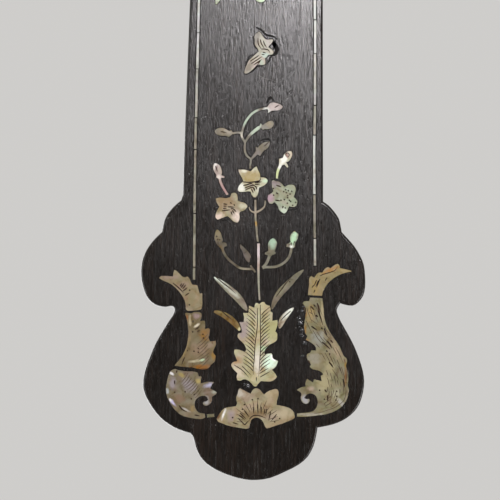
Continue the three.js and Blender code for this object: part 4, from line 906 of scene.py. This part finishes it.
RIGHT_SPINE = [(19.8, 53.2), (20.4, 49.6), (22, 45), (24.4, 41), (26, 37), (26.9, 33), (27.3, 29), (26.9, 25.6),
               (25, 22.4), (21.5, 20.6)]
ENGRAVING = {
    "butterfly": (0.24, [
        [(1.2, 132), (1.3, 130.2), (2.2, 128.7)], [(1.9, 131.6), (2.2, 130.4), (3, 129)],
        [(2.8, 131.2), (3.2, 130.1), (3.8, 129.2)], [(2.2, 128.7), (3.2, 128.7), (4.3, 128.4), (4.8, 127.5)],
        [(2.6, 127.8), (3.6, 127.5)], [(2.3, 127.1), (3.2, 127)], [(-1.2, 125), (0.6, 126.2), (1.6, 126.9)],
        [(-0.8, 124.3), (1, 125.5), (2.5, 126.5)], [(0, 124), (1.3, 124.9), (2.4, 125.6)], [(1.1, 124.3), (1.9, 125)],
    ]),
    "flower_centre": (0.29, [
        [(-3.3, 88.8), (-1, 88.7), (1.6, 89.2), (1.9, 90.2)], [(-3.2, 87.7), (-2, 88), (-1, 88.3), (0, 88.1)],
        [(-2.8, 86.9), (-1.5, 87.5), (-0.3, 87.8), (0.5, 87.4), (0.8, 86.9)],
        [(-2.7, 86.3), (-1.5, 86.9), (-0.3, 87.2), (0.4, 86.5)], [(-0.8, 86.8), (-0.2, 85.5)],
        [(-0.2, 87.1), (0.3, 86)], [(0.5, 87.6), (0.9, 86.5)], [(0.2, 88.1), (1.8, 88.2)], [(0.3, 88.6), (2.4, 88.9)],
    ]),
    "flower_left": (0.28, [
        [(-9.2, 82.2), (-8, 82)], [(-9.2, 81.5), (-8.1, 81.5)], [(-9.3, 80.8), (-8.2, 80.9)],
        [(-9.6, 80.1), (-7.2, 80.4)], [(-7.2, 82.6), (-6.6, 82.3)], [(-6, 82.1), (-5.8, 81.6)],
        [(-7, 80.7), (-6.1, 80.8)], [(-6.9, 79.9), (-6.5, 78.8)], [(-6.5, 80.3), (-5.9, 79.2)],
        [(-6.2, 80.7), (-5.3, 79.8)], [(-7.9, 81.3), (-5.8, 81.2)],
    ]),
    "flower_right": (0.3, [
        [(6.7, 87.9), (8.2, 87.4)], [(6.6, 85.7), (7.3, 85.2)], [(6.4, 83.4), (7.9, 83.2)], [(8.8, 81.7), (8.5, 81)],
    ]),
    "bud_left": (0.22, [[(-11.6, 93.5), (-10.9, 91.8)]]),
    "bud_right": (0.2, [[(9.6, 96.6), (9.5, 97.3), (10.1, 97.6), (10.6, 97), (10.2, 96.4), (9.6, 96.6)]]),
    "upper_spray": (0.22, [[(-10, 103.9), (-8.2, 103.5)], [(6.2, 111.2), (7.6, 112)], [(3.1, 99.6), (4.4, 100.8)]]),
    "spray_right": (0.2, [[(11.2, 70.8), (11.2, 69.8)], [(12.1, 71.2), (11.9, 70)]]),
    "leaf_upper_left": (0.26, [[(-11.4, 60.2), (-9.5, 58.6), (-7.4, 57), (-5.5, 55.3)]]),
    "leaf_upper_right": (0.22, [[(8.8, 57.3), (8.2, 56.5)], [(6.6, 54.4), (9.2, 58), (11.4, 60.6)]]),
    "leaf_lower_left": (0.22, [[(-10.4, 50.6), (-8.3, 48.8), (-6.5, 47.4)]]),
    "leaf_lower_right": (0.22, [[(11, 50.2), (9, 48.4), (8, 47.2)]]),
    "centre_leaf": (0.2, [
        [(1, 51), (1, 46), (0.7, 43), (0.3, 40), (0.1, 36), (-0.2, 33), (-0.1, 31)],
        [(1.9, 52), (1.9, 46), (2, 40), (1.8, 36), (1.6, 33), (1.4, 30.5)], [(0.7, 30.3), (0.7, 29)],
        [(-6, 33.9), (-3.5, 32.3), (-1.6, 30.2)], [(-3.6, 33.6), (-1, 31)], [(1.7, 31.4), (4.3, 33)],
        [(1.8, 30.3), (4.8, 32)], *leaf_veins(),
    ]),
    "palmette": (0.23, [
        [(-1.4, 17.6), (-0.4, 18.6), (0.9, 18.8), (2.3, 18.5), (3.5, 18)], [(-0.3, 21.3), (0, 19.3)],
        [(1.1, 22.3), (1.2, 19.2)], [(2.2, 21.4), (2.1, 19.2)], [(3.3, 20.8), (3, 19)], [(3.8, 20.8), (3.5, 18.8)],
        [(5, 20), (4.4, 17.3)], [(6.8, 19.2), (5.2, 17.2)], [(-4.2, 19.5), (-2.4, 17.7)], [(-4.5, 18.8), (-2.8, 17.5)],
        [(-2.9, 20.2), (-1.5, 18.4)], [(-4.8, 17.9), (-3.6, 16.8), (-2.8, 16), (-2, 16.8), (-1.3, 17.4)],
        [(-6.4, 16.6), (-4.7, 16.1)],
    ]),
    "acanthus_left_top": (0.27, [
        [(-24.3, 58.3), (-22.4, 56.7), (-21.2, 55.4)], [(-21.9, 56.9), (-20.9, 58.3)], [(-21.4, 56.6), (-20.4, 57.9)],
        [(-21.3, 55.9), (-20, 57)], [(-22.2, 57.3), (-21.6, 58.3)], [(-20.6, 54.6), (-19.4, 55.4)],
    ]),
    "acanthus_left_middle": (0.24, [
        [(-18.3, 47.2), (-18.3, 46.4)], [(-16.5, 45.3), (-17.1, 44.7), (-17.8, 44.4)], [(-16.3, 44.2), (-17.1, 43.7)],
        [(-20.8, 36), (-21.2, 35.2), (-21.7, 33.8)], [(-19.9, 38.3), (-20.1, 37.8)], [(-19.4, 32.9), (-18.4, 33.2)],
    ]),
    "acanthus_left_scroll": (0.3, [
        [(-22.5, 21.6), (-21.5, 20.4), (-20.1, 19.7)], [(-17.8, 18.8), (-16.3, 18.5)], [(-23.8, 29.1), (-23.8, 27.9)],
        [(-20.6, 26), (-20.7, 25.4)], [(-23.3, 31.4), (-23.1, 32.2)],
    ]),
    "acanthus_right_top": (0.22, [
        [(18.8, 59.6), (18, 57.7)], [(19.3, 59.4), (18.5, 57.4)], [(19.8, 59.9), (19.2, 58.5), (18.8, 57.2)],
        [(17.9, 58), (17.4, 57.2)], [(18.3, 56.6), (17.9, 55.7)], [(21.9, 60.3), (21.3, 59.3)],
    ]),
    "acanthus_right_scroll": (0.33, [
        [(18.9, 52.7), (19.4, 51.1), (19.6, 49.5), (20.2, 47.6), (20.6, 46.1)], [(17, 51.7), (18.1, 50.5)],
        [(17.9, 52.2), (18.5, 51.4)], [(18.5, 49), (19.2, 48.5)], [(17.2, 45.7), (18.9, 44.5)],
        [(20.1, 45.3), (20.6, 44.8)], [(21, 45.1), (21.9, 42.9)], [(20.4, 41), (21.6, 40), (22.9, 38.8)],
        [(22.9, 41.6), (23.7, 40.7)], [(21.9, 41.3), (22.9, 40.1), (23.3, 39.1)], [(21.6, 38.4), (22.1, 38.1)],
        [(22.5, 35), (23.1, 34.3), (23.8, 33.3)], [(21.2, 26.7), (21.8, 25.9)], [(22.1, 25), (22.1, 23.3)],
        [(26.7, 30), (27, 28.6), (27.2, 27.4)], [(16.2, 35.4), (16.8, 34.6)],
    ]),
    "right_crack": (0.2, [[(19.8, 60.8), (20.8, 61.3), (21.9, 61.6), (23.4, 62.1), (24.4, 62.6), (25.1, 63.7)]]),
}
# Shallower lines, which hold only a film of brown.
FINE_ENGRAVING = {
    "acanthus_left_middle": hatch((-13.8, 43), (-17.2, 40), 8, (0.05, -1.05), 5),
    "acanthus_left_scroll": hatch((-19.6, 31.2), (-22.2, 28.5), 9, (0.52, -0.6), 8),
    "acanthus_right_scroll": [
        [(25.1, 34.1), (26, 32.4), (26.7, 30.9)], [(23.5, 32.8), (24.6, 31.2), (25.4, 29.6)],
        [(23.2, 26.4), (23.2, 24.6), (22.8, 22.8)], [(16.9, 47.8), (19.1, 46.2)], [(16.6, 50), (17.6, 49.2)],
        [(27.7, 26.5), (27, 23.6), (24.5, 21.5), (21.9, 20.5), (18.6, 19.5), (14, 19)],
        *flow_dashes(RIGHT_SPINE, (0.6, 1.4, 2.3, 3.2, 4.2, 5.2), 9, 3)],
    "palmette": rays((0.8, 16.3), 4.0, 7.2, range(10, 176, 11), 4),
}
DOTS = {
    "flower_right": [(5.8, 86.9), (5.9, 84.9), (8.9, 86), (9.5, 86.6), (9.7, 85.7), (10.3, 86.3), (11.3, 86.1),
                     (10.8, 85.3), (10.1, 84.8), (10.1, 84.2), (10.6, 83.4), (11, 83.1), (8.1, 83.4), (9.1, 83.6),
                     (10, 82.5), (12.5, 82.8), (11.6, 81.9), (9.4, 81.1)],
    "palmette": [(-0.5, 23.5), (-2.9, 22), (1.2, 23.8), (-6.4, 18.1), (-3.5, 20.6), (6.2, 16.9), (7.7, 17.9)],
    "acanthus_left_top": [(-19.3, 56.2), (-19.4, 51.8)],
    "acanthus_left_middle": [(-18.4, 43.7), (-15.3, 43), (-15.2, 41.9), (-16.7, 38.7), (-16.7, 37.6), (-18, 37.9)],
    "acanthus_left_scroll": [(-23.8, 25.5), (-18.8, 23.6), (-17.9, 24.9)],
    "acanthus_right_scroll": [(22.7, 37.4), (21.1, 23.8), (24.8, 26.2), (24.8, 24.7), (24.6, 23.6), (19.7, 26.5),
                              (18.8, 48.9)],
    "leaf_upper_right": [(10.7, 59)],
    "spray_left": [(-10.3, 71.4), (-10.9, 71.5), (-11.2, 72.4)],
}


ENGRAVING_GAIN = 1.45


def engraved(name, strokes, dots, width, material):
    vertices, faces = [], []
    for path in strokes:
        stroke(vertices, faces, path, width, PEARL_PROUD + 0.012, 0.1)
    for centre in dots:
        dot(vertices, faces, centre, 0.26, PEARL_PROUD + 0.012, 0.1)
    smooth_shading(piece(name, mesh_from(name, vertices, faces), material), 30)


for motif in {**ENGRAVING, **DOTS}:
    width, strokes = ENGRAVING.get(motif, (0.2, []))
    engraved(f"{motif}_engraving", strokes, DOTS.get(motif, []), ENGRAVING_GAIN * width, ink)
for motif, strokes in FINE_ENGRAVING.items():
    engraved(f"{motif}_fine_lines", strokes, [], 0.2, fine_ink)

# ---- knocks and scratches in the wood ------------------------------------------------
CHIPS = [(-13.6, 59), (-5.7, 75.6), (14.3, 69.7), (13.2, 50.4), (13.9, 47.8), (12.6, 45.2), (14.2, 43.1), (-16, 67.8),
         (-11.5, 15.8), (28.3, 31.6), (27, 53.5), (-23.5, 49.5), (16.2, 15), (21.6, 67)]
SCRATCHES = [[(-7.9, 77.3), (-7, 76.5)], [(10.5, 80.8), (13.5, 80.8)], [(8, 78.9), (9.5, 78.9)],
             [(5, 122.6), (6.1, 122.4)], [(-3.2, 27.6), (-2.2, 28.2), (-1.5, 28.3)], [(28.2, 32.6), (28.5, 31)],
             [(-26.6, 78.1), (-24.8, 77.9)], [(8.6, 112.6), (11.4, 116.4)], [(1.4, 120.8), (3.6, 119.8), (5.6, 119.6)],
             [(5.6, 119.4), (7, 118.6)], [(9.4, 109.4), (10.8, 108.6)]]
# Places where dark mastic fills a pocket that was cut too wide: a path and its width.
SPILLS = [
    ([(0.6, 135.2), (2.2, 134.4), (3.6, 133), (5.4, 132.6), (6.6, 131.9), (6.4, 130.6)], 0.6),
    ([(5.3, 130.6), (6.4, 129.8), (6.9, 128.4), (6.2, 127.2), (5.2, 126.6)], 1.3),
    ([(5.7, 131.4), (6.2, 130.2), (5.9, 128.6)], 1.0), ([(5.2, 126.8), (4.6, 125.4), (3.6, 123.8)], 0.5),
    ([(2.8, 123.6), (1, 123.4), (-0.6, 121.9), (-2.2, 121)], 0.45), ([(-0.1, 132.6), (0, 130), (0.9, 128.4)], 0.4),
    ([(-0.2, 127.2), (-1.6, 126.1), (-2.9, 123.4)], 0.4), ([(3.8, 112.4), (4.9, 114.3), (5.9, 113.1)], 0.8),
    ([(6.2, 107.6), (6.7, 106.2), (6, 104.8)], 0.55), ([(2, 101.4), (4.4, 101.7), (5.2, 100.6)], 0.5),
    ([(13.2, 88), (13, 86)], 0.6), ([(10, 80.4), (11.4, 80.6), (13.3, 80.9)], 0.5), ([(-9.6, 77.2), (-7.4, 77.4)], 0.5),
    ([(-6.6, 64.1), (-4.6, 62.8), (-3, 62.2)], 0.5), ([(-12.4, 61), (-11.6, 60.6)], 0.5),
]
LUMPS = [(14.3, 50.4, 0.7), (13.5, 48.2, 0.9), (13.9, 46.7, 1.0), (14.4, 44.6, 0.8), (14.3, 43, 0.9),
         (15.2, 40.7, 0.9), (14.6, 36.8, 0.8), (13.8, 45.4, 0.6), (14.9, 51.6, 0.5), (-1.8, 27.6, 0.8), (-2.8, 28.2, 0.5)]


def spill_marks():
    vertices, faces = [], []
    for path, width in SPILLS:
        stroke(vertices, faces, path, width, 0.02, 0.1)
    smooth_shading(piece("mastic_spills", mesh_from("mastic_spills", vertices, faces), mastic), 30)
    dice = random.Random(21)
    vertices, faces = [], []
    for u, v, size in LUMPS:
        lump(vertices, faces, on_head(u, v), size * MM, dice)
    smooth_shading(piece("mastic_lumps", mesh_from("mastic_lumps", vertices, faces), lump_mastic), 60)


def lump(vertices, faces, centre, radius, dice):
    """A low uneven dome of mastic standing on the front, closed underneath."""
    sides, start = 10, len(vertices)
    reach = [radius * dice.uniform(0.6, 1.0) for _ in range(sides)]
    for share, height in ((1.0, -0.08), (0.95, 0.03), (0.6, 0.12)):
        for k in range(sides):
            angle = 2 * math.pi * k / sides
            rise = height * dice.uniform(0.8, 1.2) * MM
            vertices.append(centre + Vector((share * reach[k] * math.cos(angle), -rise,
                                             share * reach[k] * math.sin(angle))))
    vertices.append(centre + Vector((0, -0.15 * MM, 0)))
    top = len(vertices) - 1
    for ring in (0, 1):
        for k in range(sides):
            m, a = (k + 1) % sides, start + ring * sides
            faces.append((a + k, a + m, a + sides + m, a + sides + k))
    for k in range(sides):
        faces.append((start + 2 * sides + k, start + 2 * sides + (k + 1) % sides, top))
    faces.append(tuple(start + k for k in reversed(range(sides))))


def wear_marks():
    dice = random.Random(9)
    vertices, faces = [], []
    for centre in CHIPS:
        dot(vertices, faces, centre, dice.uniform(0.09, 0.17), 0.012, 0.05, points=6, jitter=dice)
    for path in SCRATCHES:
        stroke(vertices, faces, path, 0.08, 0.012, 0.05)
    piece("wear_marks", mesh_from("wear_marks", vertices, faces), bare_wood)


wear_marks()
spill_marks()

# ---- the CAD pieces that keep their shape ------------------------------------------
def refined(node, material, edge, segments=3):
    """A copy of a CAD piece with its flat faces merged and its sharp edges rounded."""
    shape = bmesh.new()
    shape.from_mesh(NODES[node].data)
    bmesh.ops.remove_doubles(shape, verts=shape.verts, dist=0.002 * MM)
    bmesh.ops.dissolve_limit(shape, angle_limit=math.radians(0.5), verts=shape.verts, edges=shape.edges)
    sharp = [e for e in shape.edges if len(e.link_faces) == 2 and e.calc_face_angle() > math.radians(30)]
    bmesh.ops.bevel(shape, geom=sharp, offset=edge, segments=segments, profile=0.5, affect="EDGES",
                    clamp_overlap=True, harden_normals=False)
    mesh = bpy.data.meshes.new(f"{node}_finished")
    shape.to_mesh(mesh)
    shape.free()
    made = piece(f"{node}_finished", mesh, material, replaces=(node,))
    smooth_shading(made, 28, weighted=True)
    return made


refined("soundboard", board_wood, 0.8 * MM)
refined("back_board", back_wood, 0.8 * MM)
refined("rib_left", rib_wood, 0.4 * MM)
refined("rib_right", rib_wood, 0.4 * MM)
refined("heel_plate", rib_wood, 0.4 * MM)
refined("nut", bone, 0.5 * MM)
for node in NODES:
    if node.startswith("fret_"):
        refined(node, bamboo, 0.6 * MM)
    elif node in ("neck_block", "tail_block") or "brace" in node:
        NODES[node].data.materials.clear()
        NODES[node].data.materials.append(inner_wood)


# ---- body trim ---------------------------------------------------------------------
BODY_LOW, BODY_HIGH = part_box("soundboard")
BODY_CENTRE = (BODY_LOW + BODY_HIGH) / 2
BODY_RADIUS = (BODY_HIGH.x - BODY_LOW.x) / 2
BACK_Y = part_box("back_board")[1].y


def lathe(profile, segments, closed=False, flutes=None):
    """Vertices and faces of a profile of (along, radius) turned about the X axis.

    flutes(along, angle) scales the radius. A closed profile makes a ring.
    """
    vertices, faces, rows = [], [], []
    for along, radius in profile:
        if radius < 1e-7:
            rows.append([len(vertices)])
            vertices.append((along, 0, 0))
            continue
        row = []
        for k in range(segments):
            angle = 2 * math.pi * k / segments
            reach = radius * (flutes(along, angle) if flutes else 1)
            row.append(len(vertices))
            vertices.append((along, reach * math.cos(angle), reach * math.sin(angle)))
        rows.append(row)
    pairs = list(zip(rows, rows[1:])) + ([(rows[-1], rows[0])] if closed else [])
    for first, second in pairs:
        for k in range(segments):
            m = (k + 1) % segments
            corners = [first[k % len(first)], first[m % len(first)], second[m % len(second)], second[k % len(second)]]
            face = tuple(dict.fromkeys(corners))
            if len(face) > 2:
                faces.append(face)
    return vertices, faces


def binding(name, outer, width, y, thickness, material):
    """A flat round-edged ring let into the edge of the body."""
    inner = outer - width
    soft = 0.25 * MM
    profile = [(y, inner + soft), (y, outer - soft), (y + soft, outer), (y + thickness - soft, outer),
               (y + thickness, outer - soft), (y + thickness, inner + soft), (y + thickness - soft, inner),
               (y + soft, inner)]
    vertices, faces = lathe(profile, 192, closed=True)
    placed = [(BODY_CENTRE.x + c, along, BODY_CENTRE.z + s) for along, c, s in vertices]
    ring = piece(name, mesh_from(name, placed, faces), material)
    smooth_shading(ring, 40)


binding("binding_front_dark", BODY_RADIUS - 0.1 * MM, 3.2 * MM, FRONT_Y - 0.12 * MM, 1.4 * MM, rib_wood)
binding("binding_front_pale", BODY_RADIUS - 3.5 * MM, 0.9 * MM, FRONT_Y - 0.06 * MM, 1.0 * MM, bone)
binding("binding_back_pale", BODY_RADIUS - 2.6 * MM, 1.1 * MM, BACK_Y - 0.95 * MM, 1.0 * MM, bone)


def bar(name, low, high, soft, material):
    """A small bar with rounded edges between two corners."""
    shape = bmesh.new()
    bmesh.ops.create_cube(shape, size=1)
    size = Vector(high) - Vector(low)
    middle = (Vector(high) + Vector(low)) / 2
    for vert in shape.verts:
        vert.co = Vector((vert.co.x * size.x, vert.co.y * size.y, vert.co.z * size.z)) + middle
    bmesh.ops.bevel(shape, geom=shape.edges[:], offset=soft, segments=3, profile=0.5, affect="EDGES")
    mesh = bpy.data.meshes.new(name)
    shape.to_mesh(mesh)
    shape.free()
    made = piece(name, mesh, material)
    smooth_shading(made, 40)
    return made


half_joint = 0.7 * MM
bar("back_centre_line", (-half_joint, BACK_Y - 0.9 * MM, BODY_CENTRE.z - BODY_RADIUS + 4.2 * MM),
    (half_joint, BACK_Y + 0.04 * MM, BODY_CENTRE.z + BODY_RADIUS - 4.2 * MM), 0.2 * MM, bone)

# Each fret wears a strip of bone where the strings press.
for node in NODES:
    if node.startswith("fret_"):
        low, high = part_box(node)
        inset = 0.115 * (high.x - low.x)
        bar(f"{node}_cap", (low.x + inset, low.y - 0.05 * MM, low.z + 0.5 * MM),
            (high.x - inset, low.y + 1.3 * MM, high.z - 0.5 * MM), 0.4 * MM, bone)


# ---- strings -----------------------------------------------------------------------
def tube(name, path, radius, material, lobes=0, pitch=1.0, sides=10, body="lute", replaces=()):
    """A closed round tube along a path of points; lobes twist it like laid strands."""
    vertices, faces, travelled = [], [], 0.0
    up = Vector((0.3, -0.9, 0.1)).normalized()
    for i, point in enumerate(path):
        onward = (path[min(i + 1, len(path) - 1)] - path[max(i - 1, 0)]).normalized()
        side = onward.cross(up).normalized()
        up = side.cross(onward).normalized()
        if i:
            travelled += (point - path[i - 1]).length
        for k in range(sides):
            angle = 2 * math.pi * k / sides
            swell = 1.0
            if lobes:
                swell = 0.93 + 0.07 * math.cos(lobes * (angle - 2 * math.pi * travelled / pitch))
            vertices.append(point + (side * math.cos(angle) + up * math.sin(angle)) * (radius * swell))
    for i in range(len(path) - 1):
        for k in range(sides):
            m = (k + 1) % sides
            faces.append((i * sides + k, i * sides + m, (i + 1) * sides + m, (i + 1) * sides + k))
    faces.append(tuple(range(sides)))
    last = (len(path) - 1) * sides
    faces.append(tuple(last + k for k in reversed(range(sides))))
    made = piece(name, mesh_from(name, vertices, faces), material, body, replaces)
    smooth_shading(made, 60)
    return made


def subdivided(points, longest):
    path = []
    for start, end in zip(points, points[1:]):
        count = max(1, math.ceil((end - start).length / longest))
        path += [start.lerp(end, k / count) for k in range(count)]
    return path + [points[-1]]


def coil(middle, radius, turns, spread, per_turn=28, start=0.0):
    """Points of a helix about an axis along X."""
    count = int(turns * per_turn)
    path = []
    for i in range(count + 1):
        angle = start + 2 * math.pi * i / per_turn
        shift = spread * (i / count - 0.5)
        path.append(middle + Vector((shift, radius * math.cos(angle), radius * math.sin(angle))))
    return path


PEG_Y = (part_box("peg_1")[0].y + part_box("peg_1")[1].y) / 2
STRINGS = (("treble", 1, "peg_3", 0.45 * MM), ("bass", -1, "peg_4", 0.6 * MM))
for label, side, peg, radius in STRINGS:
    low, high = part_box(f"string_{label}")
    wound_low, wound_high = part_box(f"winding_{label}")
    wound_radius = (wound_high.z - wound_low.z) / 2
    nut_low, nut_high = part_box("nut")
    bridge_low, bridge_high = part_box("bridge")
    peg_z = (wound_low.z + wound_high.z) / 2
    tail = Vector((side * 9.5 * MM, FRONT_Y - 8.5 * MM, low.z + 0.2 * MM))
    over_nut = Vector((side * 8 * MM, FRONT_Y - 22.7 * MM, nut_high.z + 0.5 * MM))
    at_peg = Vector((side * 5.5 * MM, PEG_Y - wound_radius - radius - 0.3 * MM, high.z))
    before = over_nut.lerp(tail, 2.5 * MM / (over_nut - tail).length)
    after = over_nut.lerp(at_peg, 2.5 * MM / (over_nut - at_peg).length)
    bend = [before * (1 - t) ** 2 + over_nut * 2 * t * (1 - t) + after * t ** 2 for t in (0.25, 0.5, 0.75)]
    path = subdivided([tail, before], 0.9 * MM) + bend + subdivided([after, at_peg], 0.9 * MM)
    tube(f"string_{label}_laid", path, radius, silk, lobes=3, pitch=3.2 * MM, sides=9,
         replaces=(f"string_{label}",))
    # The string is tied below the bridge: two wraps and a knot.
    knot_at = Vector((tail.x, tail.y, bridge_low.z - 1.0 * MM))
    wraps = []
    for i in range(61):
        angle = 2 * math.pi * i / 20
        reach = radius * 1.9
        wraps.append(knot_at + Vector((reach * math.cos(angle), reach * math.sin(angle), (0.55 - i / 60) * 1.6 * MM)))
    tube(f"string_{label}_knot", wraps, radius * 0.85, silk, sides=8)
    middle = (wound_low + wound_high) / 2
    turns = (wound_high.x - wound_low.x - 2 * radius) / (2.1 * radius)
    tube(f"winding_{label}_coil", coil(middle, wound_radius - radius, turns, wound_high.x - wound_low.x - 2 * radius),
         radius, silk, sides=8, body=peg, replaces=(f"winding_{label}",))
    under = wound_radius - 2.1 * radius
    profile = [(-3.3 * MM, 5.15 * MM), (-3.3 * MM, under), (3.3 * MM, under), (3.3 * MM, 5.15 * MM)]
    vertices, faces = lathe(profile, 36, closed=True)
    placed = [Vector(v) + middle for v in vertices]
    sleeve = piece(f"winding_{label}_under", mesh_from(f"winding_{label}_under", placed, faces), silk, body=peg)
    smooth_shading(sleeve, 40)


# ---- bridge ------------------------------------------------------------------------
def carved_bridge():
    """A low saddle with a rounded back, thinner and turned up at its ends."""
    low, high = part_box("bridge")
    middle = (low + high) / 2
    half_length = (high.x - low.x) / 2
    half_width = (high.z - low.z) / 2
    full_height = high.y - low.y
    rows, around = 64, 14
    vertices, faces = [], []
    for i in range(rows + 1):
        across = -1 + 2 * i / rows
        out = max(0.0, min(1.0, (abs(across) - 0.45) / 0.55))
        fall = out * out * (3 - 2 * out)
        tip = max(0.0, (abs(across) - 0.93) / 0.07)
        width = half_width * (1 - 0.66 * fall) * (1 - 0.35 * tip ** 2)
        rise = full_height * (1 - 0.52 * fall + 0.13 * math.exp(-((abs(across) - 0.93) / 0.045) ** 2))
        rise *= 1 - 0.12 * tip ** 2
        for k in range(around + 1):
            angle = math.pi * k / around
            reach, climb = math.cos(angle), math.sin(angle)
            reach = math.copysign(abs(reach) ** 0.45, reach)
            climb = climb ** 0.45
            vertices.append((middle.x + half_length * across, high.y - rise * climb, middle.z + width * reach))
    ring = around + 1
    for i in range(rows):
        for k in range(ring):
            m = (k + 1) % ring
            faces.append((i * ring + k, i * ring + m, (i + 1) * ring + m, (i + 1) * ring + k))
    faces.append(tuple(range(ring)))
    faces.append(tuple(rows * ring + k for k in reversed(range(ring))))
    saddle = piece("bridge_saddle", mesh_from("bridge_saddle", vertices, faces), peg_wood,
                   replaces=("bridge",))
    smooth_shading(saddle, 50)
    # A bone collar round each string hole, above and below.
    for side in (-1, 1):
        for end, name in ((low.z, "low"), (high.z, "high")):
            outward = 1 if end == high.z else -1
            profile = [(-0.6 * MM, 0.9 * MM), (-0.6 * MM, 2.1 * MM), (0.3 * MM, 2.1 * MM), (0.45 * MM, 1.6 * MM),
                       (0.3 * MM, 0.9 * MM)]
            collar_vertices, collar_faces = lathe(profile, 24, closed=True)
            seat = Vector((side * 9.5 * MM, FRONT_Y - 8.5 * MM, end - outward * 0.5 * MM))
            placed = [seat + Vector((c, d, outward * along)) for along, c, d in collar_vertices]
            name = f"bridge_collar_{'treble' if side > 0 else 'bass'}_{name}"
            smooth_shading(piece(name, mesh_from(name, placed, collar_faces), bone), 40)


carved_bridge()

# ---- pegs --------------------------------------------------------------------------
PEG_HEAD_START = 20.6
PEG_PROFILE = [
    (PEG_HEAD_START - 0.2, 5.0), (PEG_HEAD_START, 7.2), (PEG_HEAD_START + 0.7, 7.9), (PEG_HEAD_START + 2.2, 7.9),
    (PEG_HEAD_START + 3.1, 7.2), (PEG_HEAD_START + 4, 5.7), (PEG_HEAD_START + 5.6, 5.3), (PEG_HEAD_START + 6.6, 6.1),
    (PEG_HEAD_START + 7.4, 6.2), (PEG_HEAD_START + 8.2, 5.5), (PEG_HEAD_START + 12, 6.2),
    (PEG_HEAD_START + 22, 8.2), (PEG_HEAD_START + 32, 10.2), (PEG_HEAD_START + 40, 11.3),
    (PEG_HEAD_START + 44, 11.5), (PEG_HEAD_START + 47, 11.0), (PEG_HEAD_START + 50, 9.2),
    (PEG_HEAD_START + 51.4, 7.6), (PEG_HEAD_START + 52.2, 7.0), (PEG_HEAD_START + 53.4, 7.1),
    (PEG_HEAD_START + 54.2, 5.6),
]
FINIAL_PROFILE = [(54.0, 4.4), (54.8, 5.2), (56.6, 5.3), (58.6, 4.7), (60.1, 3.2), (60.8, 1.6), (61.0, 0.0)]


def peg_flutes(along, angle):
    """Ten shallow flutes that fade in and out along the grip."""
    start, end = (PEG_HEAD_START + 9) * MM, (PEG_HEAD_START + 50) * MM
    share = max(0.0, min(1.0, (abs(along) - start) / (end - start)))
    return 1 - 0.1 * math.sin(math.pi * share) ** 0.6 * abs(math.cos(5 * angle)) ** 3


def finished_peg(node, side):
    low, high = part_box(node)
    axis = Vector((0, PEG_Y, (low.z + high.z) / 2))
    grip = [tuple(p) for p in smooth_path(PEG_PROFILE[9:18], 4)]
    shaft = [(1.4 - PEG_HEAD_START, 0.0), (1.4 - PEG_HEAD_START, 4.1), (1.9 - PEG_HEAD_START, 4.6)]
    profile = shaft + PEG_PROFILE[:9] + grip + PEG_PROFILE[18:] + [(PEG_HEAD_START + 54.2, 0.0)]
    turned = [(side * along * MM, radius * MM) for along, radius in profile]
    vertices, faces = lathe(turned, 60, flutes=peg_flutes)
    placed = [Vector(v) + axis for v in vertices]
    made = piece(f"{node}_turned", mesh_from(f"{node}_turned", placed, faces), peg_wood, body=node,
                 replaces=(node,))
    smooth_shading(made, 32)
    button = [(side * (PEG_HEAD_START + along) * MM, radius * MM)
              for along, radius in [(53.8, 0.0), *FINIAL_PROFILE]]
    vertices, faces = lathe(button, 32)
    placed = [Vector(v) + axis for v in vertices]
    finial = piece(f"{node}_button", mesh_from(f"{node}_button", placed, faces), bone, body=node)
    smooth_shading(finial, 50)


for index in range(1, 5):
    finished_peg(f"peg_{index}", 1 if index % 2 else -1)
